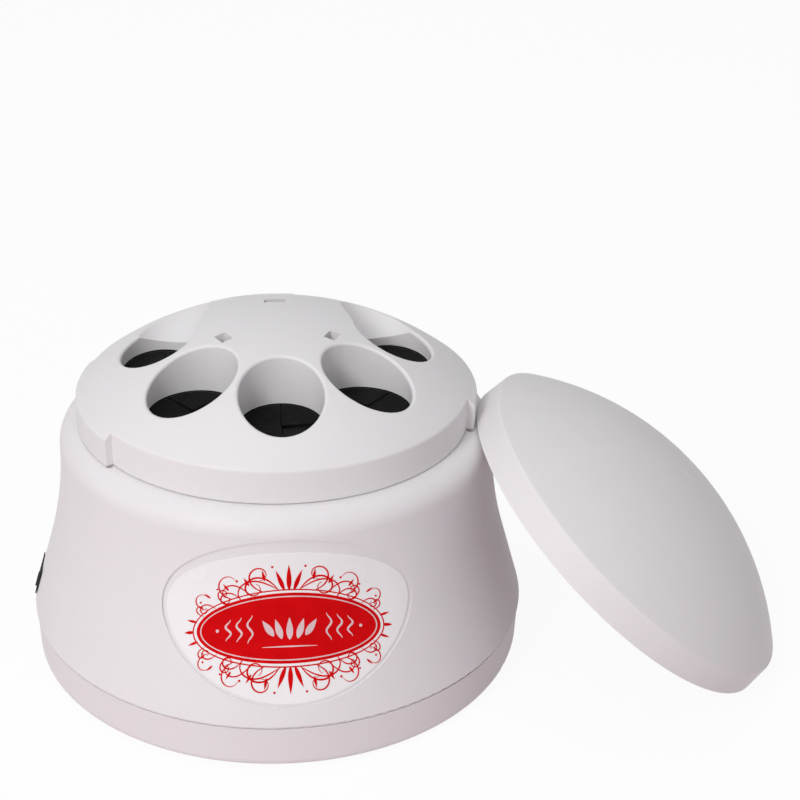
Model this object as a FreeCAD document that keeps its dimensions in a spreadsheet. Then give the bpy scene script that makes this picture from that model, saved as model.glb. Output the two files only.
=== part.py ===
import FreeCAD, Part
import math
import os
import re
import Sketcher

# Gel polish remover (nail steamer) with five finger wells and a separate closed lid.
# Millimetres, +Z up. The origin is the centre of the foot ring on the table, the front
# of the machine looks along -Y, and angles round the axis count from the front to +X.

V = FreeCAD.Vector
doc = FreeCAD.newDocument("NailSteamer")
dims = doc.addObject("Spreadsheet::Sheet", "Dims")

SIZES = (
    # housing wall, from the seam up to the collar
    ("seam_z", 18.3), ("lip_r", 94.8), ("knee_z", 45.0), ("wall_bend", 152.0),
    ("shoulder_z", 94.6), ("shoulder_drop", 7.7), ("shoulder_out", 8.35),
    ("shoulder_bend", 8.1), ("ledge_w", 7.7), ("wall_t", 2.4), ("lip_round", 0.9),
    ("collar_r", 65.0), ("collar_t", 2.4), ("collar_up", 6.4),
    # twist lock between collar and finger cover
    ("lug_up", 3.0), ("lug_h", 2.0), ("lug_out", 2.2), ("lug_play", 2.6),
    ("lug_span", 20.0), ("lug_turn", 110.0), ("lock_turn", 25.0), ("tab_span", 16.0),
    ("tab_gap", 0.4), ("tab_bite", 1.2), ("step_notch", 2.6),
    # base pan and feet
    ("foot_rise", 1.0), ("pan_t", 2.2), ("pan_step", 0.7), ("pan_draft", 0.5),
    ("pan_edge", 3.7), ("seam_gap", 0.3), ("tongue_up", 1.6), ("tongue_t", 1.6),
    ("tongue_gap", 0.3), ("foot_in", 70.0), ("foot_w", 6.0), ("foot_sink", 1.0),
    ("foot_gap", 0.05), ("pan_corner", 5.0),
    # base screws with their bosses and posts
    ("boss_r", 4.6), ("boss_up", 6.0), ("boss_h", 16.7), ("screw_r", 1.5),
    ("screw_play", 0.05), ("head_r", 3.0), ("head_h", 2.2), ("head_up", 5.0),
    ("base_bite", 10.0),
    # finger cover: dome, lobed skirt, wells, vents
    ("skirt_gap", 0.4), ("skirt_t", 1.8), ("ring_over", 0.7), ("recess_step", 2.65), ("dome_bend", 118.0),
    ("dome_rise", 36.4), ("cover_t", 2.2), ("lobe_span", 51.2), ("lobe_turn", 99.0),
    ("crease_round", 1.4),
    ("well_a", 16.9), ("well_b", 14.9), ("well_edge", 2.4), ("well_web", 3.568),
    ("side_a", 14.2), ("side_b", 18.2), ("side_edge", 4.5), ("side_step", 49.5),
    ("well_up", 9.0), ("well_wall", 1.6), ("lip_soft", 1.1),
    ("groove_r", 14.0), ("groove_turn", 99.55), ("groove_rise", 12.7),
    ("groove_start", 8.0), ("groove_wall", 1.8),
    ("vent_c", 22.2), ("vent_turn", 62.0), ("vent_a", 4.3), ("vent_b", 6.0),
    ("rear_vent_c", 23.0), ("rear_vent_a", 4.7), ("rear_vent_b", 8.3),
    ("arrow_c", 45.0), ("arrow_w", 1.6), ("arrow_up", 0.3), ("arrow_span", 38.0),
    ("arrow_turn", 99.0),
    # membranes and their retainer
    ("skin_t", 1.0), ("skin_rim", 1.2), ("slit_w", 0.4), ("slit_part", 0.72),
    ("plate_t", 1.8), ("plate_play", 1.0), ("plate_hole", 23.2),
    ("clip_in", 4.0), ("clip_turn", 23.0), ("clip_turn_side", 70.5), ("clip_rear_in", 17.0),
    ("clip_boss", 2.8), ("clip_screw", 1.1), ("clip_head", 2.4), ("clip_head_h", 1.5),
    ("clip_bite", 3.4),
    # sealing ring between bowl and cover
    ("seal_w", 2.2), ("seal_h", 2.0), ("rib_step", 0.4), ("rib_w", 1.4), ("rib_gap", 0.3),
    # steam bowl
    ("flange_gap", 0.2), ("flange_t", 1.5), ("bowl_play", 0.4), ("bowl_edge", 5.0),
    ("bowl_z", 38.6), ("bowl_t", 1.6), ("bowl_ring_t", 2.0), ("bowl_hole", 40.0),
    ("bowl_boss_up", 6.4), ("bowl_boss_r", 3.2),
    # heating dish, its gasket and heater
    ("gasket_t", 0.6), ("gasket_step", 1.0), ("gasket_w", 4.0), ("gasket_play", 0.8),
    ("dish_edge", 3.0), ("dish_t", 1.5), ("dish_deep", 11.0), ("dish_flat", 26.0),
    ("dish_play", 0.5), ("dish_screw", 1.3), ("dish_bite", 6.0),
    ("heater_x", 30.0), ("heater_y", 20.0), ("heater_t", 3.9), ("mica_t", 0.4),
    ("clamp_t", 1.2), ("clamp_y", 16.0), ("clamp_side", 3.4), ("clamp_end", 5.0),
    ("clamp_boss", 2.6), ("clamp_bite", 3.6), ("stat_r", 6.5), ("stat_h", 6.0),
    ("stat_play", 2.5),
    # heat shield
    ("shield_r", 45.0), ("shield_up", 8.8), ("shield_t", 0.8), ("shield_c", 38.0),
    ("shield_post", 3.0), ("shield_bite", 5.0),
    # control board, its posts and the power inlet at the back
    ("board_up", 16.8), ("board_t", 1.6), ("board_x", 46.0), ("board_y", 24.0),
    ("board_screw_in", 3.5), ("board_screw_side", 4.0), ("board_post", 2.8),
    ("board_bite", 8.0), ("jack_x", 9.0), ("jack_y", 13.5), ("jack_h", 11.0),
    ("jack_gap", 0.4), ("jack_over", 1.5), ("jack_bore", 3.0), ("jack_deep", 9.0),
    ("jack_pin", 1.0), ("inlet_r", 5.0),
    ("relay_x", 12.0), ("relay_y", 9.0), ("relay_h", 10.0), ("chip_x", 9.0), ("chip_y", 6.0),
    ("chip_h", 2.2), ("can_r", 3.5), ("can_h", 9.0),
    # rocker switch at the left side
    ("switch_turn", -90.5), ("switch_up", 7.1), ("bezel_side", 0.85), ("bezel_rim", 1.05),
    ("bezel_t", 0.4), ("bezel_round", 0.9), ("switch_w", 13.3), ("switch_h", 8.4),
    ("switch_deep", 11.0), ("switch_play", 0.15), ("cell_rim", 0.9),
    ("rocker_w", 5.0), ("rocker_up", 0.8), ("rocker_dip", 0.53), ("rocker_gap", 0.25),
    ("rocker_lean", 9.0), ("pivot_in", 0.9), ("blade_w", 2.8), ("blade_t", 0.5),
    ("blade_out", 6.0), ("blade_pitch", 5.0),
    # label with its recess
    ("label_x", 0.8), ("label_z", 57.0), ("label_w", 41.8), ("label_up", 24.2),
    ("label_down", 30.0), ("panel_side", 1.6), ("panel_over", 4.8), ("panel_under", 1.0),
    ("panel_deep", 0.6), ("label_t", 0.35), ("label_gap", 0.04),
    # closed lid leaning at the right side
    ("cap_skirt", 10.5), ("cap_rise", 26.06), ("cap_taper", 1.0), ("cap_t", 2.0),
    ("cap_tilt", 40.31), ("cap_bearing", -9.22), ("cap_heading", -8.56),
    ("lean_gap", 0.33), ("floor_gap", 0.05), ("cap_round", 1.4),
)
for row, (alias, number) in enumerate(SIZES, start=1):
    dims.set("A%d" % row, alias)
    dims.set("B%d" % row, repr(number))
    dims.setAlias("B%d" % row, alias)
doc.recompute()


# Sizes that fit or seat on another piece follow from its sizes and a named clearance.
FOLLOWS = {
    "collar_top": "(shoulder_z+collar_up)",
    "shoulder_r": "(collar_r+ledge_w)",
    "neck_r": "(shoulder_r+shoulder_out)",
    "neck_z": "(shoulder_z-shoulder_drop)",
    "lug_z": "(shoulder_z+lug_up)",
    "pan_top_r": "(lip_r-pan_step)",
    "pan_low_r": "(pan_top_r-pan_draft)",
    "foot_out": "(foot_in+foot_w)",
    "post_top": "(seam_z+boss_up)",
    "head_z": "(foot_rise+head_up)",
    "skirt_z": "(shoulder_z+skirt_gap)",
    "recess_r": "(collar_r+lug_out+lug_play+skirt_t)",
    "lobe_r": "(recess_r+recess_step)",
    "dome_top": "(skirt_z+dome_rise)",
    "well_c": "(plate_r-well_a-well_edge)",
    "well_turn": "(2*asin((well_b+well_web/2)/well_c)/(1 deg))",
    "side_c": "(plate_r-side_a-side_edge)",
    "side_turn": "(well_turn+side_step)",
    "well_floor": "(collar_top+well_up)",
    "plate_r": "(rib_in-plate_play)",
    "clip_c": "(plate_r-clip_in)",
    "clip_rear_c": "(plate_r-clip_rear_in)",
    "seal_in": "(collar_r-flange_gap-seal_w)",
    "rib_in": "(seal_in+rib_step)",
    "bowl_top_r": "(collar_r-collar_t-bowl_play)",
    "bowl_low_r": "(dish_screw_c+bowl_edge)",
    "gasket_in": "(bowl_hole+gasket_step)",
    "dish_screw_c": "(gasket_in+gasket_w+gasket_play+bowl_boss_r)",
    "dish_r": "(dish_screw_c+dish_edge)",
    "dish_rim": "(bowl_hole-dish_play)",
    "clamp_c": "(heater_x/2+clamp_boss+clamp_side)",
    "clamp_x": "(2*(clamp_c+clamp_end))",
    "stat_y": "(heater_y/2+stat_r+stat_play)",
    "shield_z": "(foot_rise+pan_t+shield_up)",
    "board_z": "(foot_rise+pan_t+board_up)",
    "board_screw_x": "(board_x/2-board_screw_side)",
    "switch_z": "(seam_z+switch_up)",
    "bezel_w": "(switch_w+2*bezel_side)",
    "bezel_h": "(switch_h+2*bezel_rim)",
    "cell_h": "(switch_h-2*cell_rim)",
    "panel_w": "(label_w+panel_side)",
    "panel_up": "(label_up+panel_over)",
    "panel_down": "(label_down+panel_under)",
}


def linked(text):
    """Writes out the sizes that follow from others, then puts the sheet's name before
    each alias; every alias holds an underscore."""
    text, before = str(text), None
    while text != before:
        before = text
        text = re.sub(r"\b[a-z]+(?:_[a-z]+)+\b", lambda m: FOLLOWS.get(m[0], m[0]), text)
    return re.sub(r"\b([a-z]+(?:_[a-z]+)+)\b", r"Dims.\1", text)


def val(text):
    """The number that an expression over the sheet gives."""
    return float(dims.evalExpression(linked(text)))


def bind(thing, **sizes):
    """Ties properties of a document object to expressions over the sheet."""
    for name, text in sizes.items():
        thing.setExpression(name, linked(text))
    return thing


def place(thing, x=0, y=0, z=0, axis=None, turn=None):
    """Ties an object's position, and its turn about a fixed axis, to the sheet."""
    if axis is not None:
        thing.Placement = FreeCAD.Placement(V(0, 0, 0), FreeCAD.Rotation(axis, 1))
        thing.setExpression(".Placement.Rotation.Angle", linked(turn))
    thing.setExpression(".Placement.Base.x", linked(x))
    thing.setExpression(".Placement.Base.y", linked(y))
    thing.setExpression(".Placement.Base.z", linked(z))
    return thing


def new_body(label):
    body = doc.addObject("PartDesign::Body", label)
    body.Label = label
    return body


def new_sketch(body, name, role="XY_Plane", up=None, turn=None):
    """A sketch on an origin plane of its own body, raised, or turned round the Z axis."""
    plane = [o for o in body.Origin.OriginFeatures if o.Role == role][0]
    sketch = body.newObject("Sketcher::SketchObject", name)
    sketch.AttachmentSupport = [(plane, "")]
    sketch.MapMode = "FlatFace"
    if up is not None:
        sketch.setExpression(".AttachmentOffset.Base.z", linked(up))
    if turn is not None:
        sketch.AttachmentOffset = FreeCAD.Placement(V(0, 0, 0), FreeCAD.Rotation(V(0, 1, 0), 1))
        sketch.setExpression(".AttachmentOffset.Rotation.Angle", linked(turn))
    return sketch


def fix_point(sketch, item, position, x, y):
    """Holds a point of a sketch at two expressions, or on an axis where one is 0."""
    for kind, text, axis in (("DistanceX", x, -2), ("DistanceY", y, -1)):
        if str(text) == "0":
            sketch.addConstraint(Sketcher.Constraint("PointOnObject", item, position, axis))
            continue
        number = val(text)
        last = sketch.addConstraint(Sketcher.Constraint(kind, -1, 1, item, position, number))
        sketch.setExpression("Constraints[%d]" % last, linked(text))


def outline(sketch, corners):
    """Closed outline of (x, y) or (x, y, radius) corners. A radius bends the edge that
    leaves its corner: positive with the centre on the left, negative on the right."""
    points = [V(val(c[0]), val(c[1]), 0) for c in corners]
    count = len(corners)
    starts = []
    for i, corner in enumerate(corners):
        start = points[i]
        end = points[(i + 1) % count]
        if len(corner) == 2:
            item = sketch.addGeometry(Part.LineSegment(start, end), False)
        else:
            radius = val(corner[2])
            chord = end - start
            left = V(-chord.y, chord.x, 0).normalize()
            half = chord.Length / 2
            drop = abs(radius) - (radius * radius - half * half) ** 0.5
            side = -1 if radius > 0 else 1
            middle = (start + end) * 0.5 + left * (side * drop)
            item = sketch.addGeometry(Part.Arc(start, middle, end), False)
        near = sketch.getPoint(item, 1).distanceToPoint(start)
        starts.append((item, 1 if near < 1e-6 else 2))
    for i, corner in enumerate(corners):
        item, first = starts[i]
        following, second = starts[(i + 1) % count]
        joint = Sketcher.Constraint("Coincident", item, 3 - first, following, second)
        sketch.addConstraint(joint)
        fix_point(sketch, item, first, corner[0], corner[1])
        if len(corner) == 3:
            bend = Sketcher.Constraint("Radius", item, abs(val(corner[2])))
            last = sketch.addConstraint(bend)
            sketch.setExpression("Constraints[%d]" % last, linked("abs(%s)" % corner[2]))
    return sketch


def rounds(sketch, circles):
    """Circles of (x, y, radius)."""
    for x, y, radius in circles:
        circle = Part.Circle(V(val(x), val(y), 0), V(0, 0, 1), val(radius))
        item = sketch.addGeometry(circle, False)
        fix_point(sketch, item, 3, x, y)
        last = sketch.addConstraint(Sketcher.Constraint("Radius", item, val(radius)))
        sketch.setExpression("Constraints[%d]" % last, linked(radius))
    return sketch


def rectangle(sketch, x0, y0, x1, y1):
    return outline(sketch, [(x0, y0), (x1, y0), (x1, y1), (x0, y1)])


def turned(body, name, corners, cut=False, span=None, turn=None):
    """Revolves an outline of (radius, height) corners about Z; a span is centred."""
    sketch = outline(new_sketch(body, name + "_sketch", "XZ_Plane", turn=turn), corners)
    kind = "PartDesign::Groove" if cut else "PartDesign::Revolution"
    feature = body.newObject(kind, name)
    feature.Profile = sketch
    feature.ReferenceAxis = (sketch, ["V_Axis"])
    feature.Angle = 360
    if span is not None:
        feature.Midplane = True
        feature.setExpression("Angle", linked(span))
    body.Tip = feature
    return feature


def padded(body, name, sketch, length, cut=False):
    """Pads a sketch upwards, or cuts it upwards out of the body."""
    feature = body.newObject("PartDesign::Pocket" if cut else "PartDesign::Pad", name)
    feature.Profile = sketch
    feature.setExpression("Length", linked(length))
    if cut:
        feature.Reversed = True
    body.Tip = feature
    return feature


def ring_of(body, name, feature, count):
    """Repeats a feature evenly round the Z axis."""
    pattern = body.newObject("PartDesign::PolarPattern", name)
    pattern.Originals = [feature]
    pattern.Axis = (feature.Profile[0], ["N_Axis"])
    if feature.Profile[0].AttachmentSupport[0][0].Role == "XZ_Plane":
        pattern.Axis = (feature.Profile[0], ["V_Axis"])
    pattern.Angle = 360
    pattern.Occurrences = count
    body.Tip = pattern
    return pattern


def softened(body, name, radius, wanted):
    """Fillets the edges of the body so far that a test on the edge picks."""
    doc.recompute()
    base = body.Tip
    names = ["Edge%d" % (i + 1) for i, e in enumerate(base.Shape.Edges) if wanted(e)]
    if not names:
        raise ValueError("no edge for " + name)
    fillet = body.newObject("PartDesign::Fillet", name)
    fillet.Base = (base, names)
    fillet.setExpression("Radius", linked(radius))
    body.Tip = fillet
    return fillet


def primitive(kind, name, **sizes):
    thing = doc.addObject(kind, name)
    return bind(thing, **sizes)


def drum(name, radius, height, x=0, y=0, z=0):
    """Upright cylinder."""
    return place(primitive("Part::Cylinder", name, Radius=radius, Height=height), x, y, z)


def brick(name, length, width, height, x, y, z):
    """Box given by its middle in x and y and its lowest z."""
    thing = primitive("Part::Box", name, Length=length, Width=width, Height=height)
    return place(thing, "%s-(%s)/2" % (x, length), "%s-(%s)/2" % (y, width), z)


def joined(name, parts):
    thing = doc.addObject("Part::MultiFuse", name)
    thing.Shapes = parts
    return thing


def cut_from(name, base, tools):
    """Base without its tools."""
    thing = doc.addObject("Part::Cut", name)
    thing.Base = base
    thing.Tool = tools[0] if len(tools) == 1 else joined(name + "_tools", tools)
    return thing


def shared(name, parts):
    thing = doc.addObject("Part::MultiCommon", name)
    thing.Shapes = parts
    return thing


def group(name, parts):
    """Equal loose pieces of one sub-part, kept as separate solids."""
    thing = doc.addObject("Part::Compound", name)
    thing.Links = parts
    thing.Label = name
    return thing


def polar(radius, angle):
    """Expressions of a point at a radius, at an angle from the front towards +X."""
    return "(%s)*sin(%s)" % (radius, angle), "-(%s)*cos(%s)" % (radius, angle)


def oval_bar(name, major, minor, height, x, y, z, turn):
    """Upright elliptic bar; the turn brings its long axis from +X."""
    base = primitive("Part::Ellipse", name + "_oval", MajorRadius=major, MinorRadius=minor)
    bar = doc.addObject("Part::Extrusion", name)
    bar.Base = base
    bar.DirMode = "Custom"
    bar.Dir = V(0, 0, 1)
    bar.Solid = True
    bind(bar, LengthFwd=height)
    return place(bar, x, y, z, V(0, 0, 1), turn)


def screw(name, shank, head, head_height, length, x, y, z, upward=True):
    """Pan-head screw: z is the seat of the head, the shank points up or down from it."""
    stem_z = z if upward else "%s-(%s)" % (z, length)
    head_z = "%s-(%s)" % (z, head_height) if upward else z
    stem = drum(name + "_stem", shank, length, x, y, stem_z)
    top = drum(name + "_head", head, head_height, x, y, head_z)
    return joined(name, [stem, top])


KNEE_R = "(neck_r+wall_bend-sqrt(wall_bend^2-(neck_z-knee_z)^2))"
SLOPE = "((%s-lip_r)/(knee_z-seam_z))" % KNEE_R
WALL_TILT = math.degrees(math.atan(-val(SLOPE)))


def wall_r(height):
    """Radius of the housing's outside at a height between seam and knee."""
    return "(lip_r+%s*((%s)-seam_z))" % (SLOPE, height)


def wall_side(shift, last_bend=None):
    """Housing profile from the seam up to the neck, moved outward by a shift."""
    neck = ("neck_r+(%s)" % shift, "neck_z")
    if last_bend is not None:
        neck = neck + (last_bend,)
    return [
        ("lip_r+(%s)" % shift, "seam_z"),
        ("%s+(%s)" % (KNEE_R, shift), "knee_z", "-wall_bend"),
        neck,
    ]


def on_circle(edge, radius, height):
    """True for a round edge about the Z axis with this radius and height."""
    if edge.Degenerated or not isinstance(edge.Curve, Part.Circle):
        return False
    curve = edge.Curve
    off = math.hypot(curve.Center.x, curve.Center.y) + abs(curve.Center.z - val(height))
    return off < 1e-3 and abs(curve.Radius - val(radius)) < 1e-3


BOSS_C = "(%s+1-boss_r)" % KNEE_R
BOSS_TOP = "(post_top+boss_h)"
BOWL_TOP = "(collar_top+flange_t)"
RING_TOP = "(%s+ring_over)" % BOWL_TOP
DOME_Z = "(dome_top-dome_bend)"


def dome_z(radius, inset="0"):
    """Height of the dome, or of its inside, at a radius."""
    return "(%s+sqrt((dome_bend-(%s))^2-(%s)^2))" % (DOME_Z, inset, radius)


def egg_bar(name, x, z, width, up, down):
    """Bar along -Y whose outline is an upper and a lower half ellipse."""
    half = val(width)
    edges = []
    for reach, turn in ((val(up), 0), (val(down), 180)):
        if half > reach:
            curve = Part.Ellipse(V(0, 0, 0), half, reach)
            edge = Part.Arc(curve, 0, math.pi).toShape()
        else:
            curve = Part.Ellipse(V(0, 0, 0), reach, half)
            edge = Part.Arc(curve, -math.pi / 2, math.pi / 2).toShape()
            edge.rotate(V(0, 0, 0), V(0, 0, 1), 90)
        edge.rotate(V(0, 0, 0), V(0, 0, 1), turn)
        edges.append(edge)
    face = Part.Face(Part.Wire(Part.sortEdges(edges)[0]))
    bar = doc.addObject("Part::Feature", name)
    bar.Shape = face.extrude(V(0, 0, val("lip_r") + 10))
    bar.Placement = FreeCAD.Placement(V(val(x), 0, val(z)), FreeCAD.Rotation(V(1, 0, 0), 90))
    return bar


def at_switch(thing, lean=None):
    """Puts a piece drawn with +X along the wall, +Y up it and +Z out of it at the
    switch; a lean turns it about the rocker's pivot."""
    round_axis = FreeCAD.Rotation(V(0, 0, 1), val("switch_turn"))
    out = FreeCAD.Rotation(V(1, 0, 0), 90 - WALL_TILT)
    spot = round_axis.multVec(V(0, -val(wall_r("switch_z")), val("switch_z")))
    home = FreeCAD.Placement(spot, round_axis.multiply(out))
    if lean is not None:
        pivot = V(0, 0, val("bezel_t-pivot_in"))
        tip = FreeCAD.Rotation(V(0, 1, 0), val(lean))
        home = home.multiply(FreeCAD.Placement(pivot - tip.multVec(pivot), tip))
    thing.Placement = home
    return thing


# ---- housing: concave turned wall and shoulder, with the collar and its two lock lugs ----
wall = new_body("housing_wall")
turned(wall, "wall", wall_side("0", "shoulder_bend") + [
    ("shoulder_r", "shoulder_z"),
    ("collar_r-collar_t", "shoulder_z"),
    ("collar_r-collar_t", "shoulder_z-wall_t"),
    ("shoulder_r", "shoulder_z-wall_t", "-(shoulder_bend-wall_t)"),
    ("neck_r-wall_t", "neck_z", "wall_bend"),
    ("%s-wall_t" % KNEE_R, "knee_z"),
    ("lip_r-wall_t", "seam_z"),
])
softened(wall, "lip_edge", "lip_round", lambda e: on_circle(e, "lip_r", "seam_z"))
collar = new_body("lock_collar")
turned(collar, "collar", [
    ("collar_r-collar_t", "shoulder_z"), ("collar_r", "shoulder_z"),
    ("collar_r", "collar_top"), ("collar_r-collar_t", "collar_top"),
])
boss_spot = ("%s*cos(45)" % BOSS_C, "%s*sin(45)" % BOSS_C)
boss_sketch = rounds(new_sketch(wall, "boss_sketch", up="post_top"), [boss_spot + ("boss_r",)])
ring_of(wall, "bosses", padded(wall, "boss", boss_sketch, "%s-post_top" % BOSS_TOP), 4)
boss_hole = rounds(new_sketch(wall, "boss_hole_sketch", up="post_top"),
                   [boss_spot + ("screw_r+screw_play",)])
ring_of(wall, "boss_holes", padded(wall, "boss_hole", boss_hole, "base_bite+1", cut=True), 4)

hole = new_body("switch_hole")
padded(hole, "switch_hole_block", rectangle(
    new_sketch(hole, "switch_hole_sketch", up="-switch_deep"),
    "-switch_w/2-switch_play", "-switch_h/2-switch_play",
    "switch_w/2+switch_play", "switch_h/2+switch_play"), "2*switch_deep")
at_switch(hole)
INLET_Z = "(board_z+board_t+jack_h/2)"
inlet = primitive("Part::Cylinder", "inlet_hole", Radius="inlet_r", Height="4*wall_t")
inlet.Placement = FreeCAD.Placement(V(0, 0, 0), FreeCAD.Rotation(V(1, 0, 0), -90))
place(inlet, 0, "%s-3*wall_t" % wall_r(INLET_Z), INLET_Z)
band = new_body("panel_band")
turned(band, "band", wall_side("-panel_deep") + [
    ("lip_r+5", "neck_z"),
    ("lip_r+5", "seam_z"),
])
recess = shared("panel_recess", [
    band, egg_bar("panel_bar", "label_x", "label_z", "panel_w", "panel_up", "panel_down")])
notches = []
for i in range(4):
    side = 180 * (i // 2)
    end = "lobe_turn+%d%slobe_span/2" % (side, "+" if i % 2 else "-")
    spot = polar("lobe_r-recess_step/2", end)
    notches.append(drum("notch_%d" % i, "step_notch/2", "2*wall_t", spot[0], spot[1],
                        "shoulder_z-wall_t/2"))
housing = cut_from("housing", wall, [hole, inlet, recess] + notches)


def lock_piece(name, corners, span, turn):
    """A sector of an outline of (radius, height) corners, centred on an angle."""
    sector = new_body(name)
    turned(sector, name + "_sector", corners, span=span, turn="%s-90" % turn)
    return sector


collar_lugs = group("collar_lugs", [lock_piece("collar_lug_%d" % i, [
    ("collar_r", "lug_z"), ("collar_r+lug_out", "lug_z"),
    ("collar_r+lug_out", "lug_z+lug_h"), ("collar_r", "lug_z+lug_h"),
], "lug_span", "lug_turn+180*%d" % i) for i in range(2)])

# ---- label: thin sticker that lies on the floor of its recess ----
film = new_body("label_film")
turned(film, "film", wall_side("label_gap-panel_deep") + [
    ("neck_r-panel_deep+label_gap+label_t", "neck_z", "wall_bend"),
    ("%s-panel_deep+label_gap+label_t" % KNEE_R, "knee_z"),
    ("lip_r-panel_deep+label_gap+label_t", "seam_z"),
])
label_panel = shared("label_panel", [
    film, egg_bar("label_bar", "label_x", "label_z", "label_w", "label_up", "label_down")])

# ---- base pan with posts for the base screws, the heat shield and the board ----
FLOOR = "(foot_rise+pan_t)"
TONGUE_TOP = "(seam_z+tongue_up)"
TONGUE_R = "(%s-wall_t-tongue_gap)" % wall_r(TONGUE_TOP)
SEAM_LOW = "(seam_z-seam_gap)"
pan = new_body("base_pan")
turned(pan, "pan", [
    ("0", "foot_rise"),
    ("foot_in-foot_gap", "foot_rise"),
    ("foot_in-foot_gap", "foot_rise+foot_sink"),
    ("foot_out+foot_gap", "foot_rise+foot_sink"),
    ("foot_out+foot_gap", "foot_rise"),
    ("pan_low_r-pan_edge", "foot_rise", "pan_edge"),
    ("pan_low_r", "foot_rise+pan_edge"),
    ("pan_top_r", SEAM_LOW),
    (TONGUE_R, SEAM_LOW),
    (TONGUE_R, TONGUE_TOP),
    ("%s-tongue_t" % TONGUE_R, TONGUE_TOP),
    ("%s-tongue_t" % TONGUE_R, "%s+pan_corner" % FLOOR),
    ("%s-tongue_t-pan_corner" % TONGUE_R, FLOOR),
    ("0", FLOOR),
])
post_sketch = rounds(new_sketch(pan, "post_sketch", up=FLOOR), [boss_spot + ("boss_r",)])
ring_of(pan, "posts", padded(pan, "post", post_sketch, "post_top-%s" % FLOOR), 4)
bore_sketch = rounds(new_sketch(pan, "bore_sketch"), [boss_spot + ("screw_r+screw_play",)])
ring_of(pan, "bores", padded(pan, "bore", bore_sketch, "post_top", cut=True), 4)
sink_sketch = rounds(new_sketch(pan, "sink_sketch"), [boss_spot + ("head_r+tongue_gap",)])
ring_of(pan, "sinks", padded(pan, "sink", sink_sketch, "head_z", cut=True), 4)
shield_sketch = rounds(new_sketch(pan, "shield_sketch", up=FLOOR), [("0", "shield_c", "shield_post")])
shield_pad = padded(pan, "shield_foot", shield_sketch, "shield_z-%s" % FLOOR)
ring_of(pan, "shield_feet", shield_pad, 3)
shield_hole = rounds(new_sketch(pan, "shield_hole_sketch", up="shield_z-shield_bite-0.5"),
                     [("0", "shield_c", "clip_screw+screw_play")])
shield_cut = padded(pan, "shield_hole", shield_hole, "shield_bite+0.5", cut=True)
ring_of(pan, "shield_holes", shield_cut, 3)
JACK_Y = "(%s-wall_t-jack_gap)" % wall_r("board_z+board_t+jack_h")
BOARD_BACK = "(%s-jack_over)" % JACK_Y
board_spots = []
for sign in ("", "-"):
    board_spots.append((sign + "board_screw_x", "%s-board_screw_in" % BOARD_BACK))
    board_spots.append((sign + "board_screw_x", "%s-board_y+board_screw_in" % BOARD_BACK))
padded(pan, "board_posts", rounds(new_sketch(pan, "board_post_sketch", up=FLOOR),
       [s + ("board_post",) for s in board_spots]), "board_z-%s" % FLOOR)
padded(pan, "board_post_holes", rounds(
    new_sketch(pan, "board_hole_sketch", up="board_z-board_bite-0.5"),
    [s + ("clip_screw+screw_play",) for s in board_spots]), "board_bite+0.5", cut=True)

foot = new_body("foot_ring")
turned(foot, "foot", [
    ("foot_in", "0"), ("foot_out", "0"),
    ("foot_out", "foot_rise+foot_sink"), ("foot_in", "foot_rise+foot_sink"),
])

bases = []
for i in range(4):
    spot = polar(BOSS_C, "45+90*%d" % i)
    bases.append(screw("base_screw_%d" % i, "screw_r", "head_r", "head_h",
                       "post_top-head_z+base_bite", spot[0], spot[1], "head_z"))
base_screws = group("base_screws", bases)

# ---- steam bowl hung in the collar, dish with heater screwed under it ----
FLANGE_R = "(collar_r-flange_gap)"
bowl_body = new_body("bowl_shell")
turned(bowl_body, "bowl", [
    ("bowl_hole", "bowl_z"), ("bowl_low_r", "bowl_z"), ("bowl_top_r", "collar_top"),
    (FLANGE_R, "collar_top"), (FLANGE_R, BOWL_TOP), ("bowl_top_r-bowl_t", BOWL_TOP),
    ("bowl_low_r-bowl_t", "bowl_z+bowl_ring_t"), ("bowl_hole", "bowl_z+bowl_ring_t"),
])
dish_spot = ("dish_screw_c*cos(45)", "dish_screw_c*sin(45)")
bowl_sketch = rounds(new_sketch(bowl_body, "bowl_boss_sketch", up="bowl_z"),
                     [dish_spot + ("bowl_boss_r",)])
bowl_pad = padded(bowl_body, "bowl_boss", bowl_sketch, "bowl_ring_t+bowl_boss_up")
ring_of(bowl_body, "bowl_bosses", bowl_pad, 4)
bowl_hole_sketch = rounds(new_sketch(bowl_body, "bowl_hole_sketch", up="bowl_z"),
                          [dish_spot + ("dish_screw+screw_play",)])
bowl_cut = padded(bowl_body, "bowl_boss_hole", bowl_hole_sketch, "dish_bite+0.5", cut=True)
ring_of(bowl_body, "bowl_boss_holes", bowl_cut, 4)
bowl_body.Label = "steam_bowl"

DISH_TOP = "(bowl_z-gasket_t)"
DISH_LOW = "(%s-dish_t-dish_deep)" % DISH_TOP
gasket = new_body("dish_gasket")
turned(gasket, "gasket", [
    ("gasket_in", DISH_TOP), ("gasket_in+gasket_w", DISH_TOP),
    ("gasket_in+gasket_w", "bowl_z"), ("gasket_in", "bowl_z"),
])
MICA_Z = "(%s-heater_t-mica_t)" % DISH_LOW
CLAMP_Z = "(%s-clamp_t)" % MICA_Z
dish = new_body("heating_dish")
turned(dish, "dish", [
    ("0", DISH_LOW), ("dish_flat", DISH_LOW), ("dish_rim", "%s-dish_t" % DISH_TOP),
    ("dish_r", "%s-dish_t" % DISH_TOP), ("dish_r", DISH_TOP),
    ("dish_rim-dish_t*0.6", DISH_TOP), ("dish_flat-dish_t*0.5", "%s+dish_t" % DISH_LOW),
    ("0", "%s+dish_t" % DISH_LOW),
])
dish_hole = rounds(new_sketch(dish, "dish_hole_sketch", up="%s-dish_t" % DISH_TOP),
                   [dish_spot + ("dish_screw+screw_play",)])
ring_of(dish, "dish_holes", padded(dish, "dish_hole", dish_hole, "dish_t", cut=True), 4)
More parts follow.
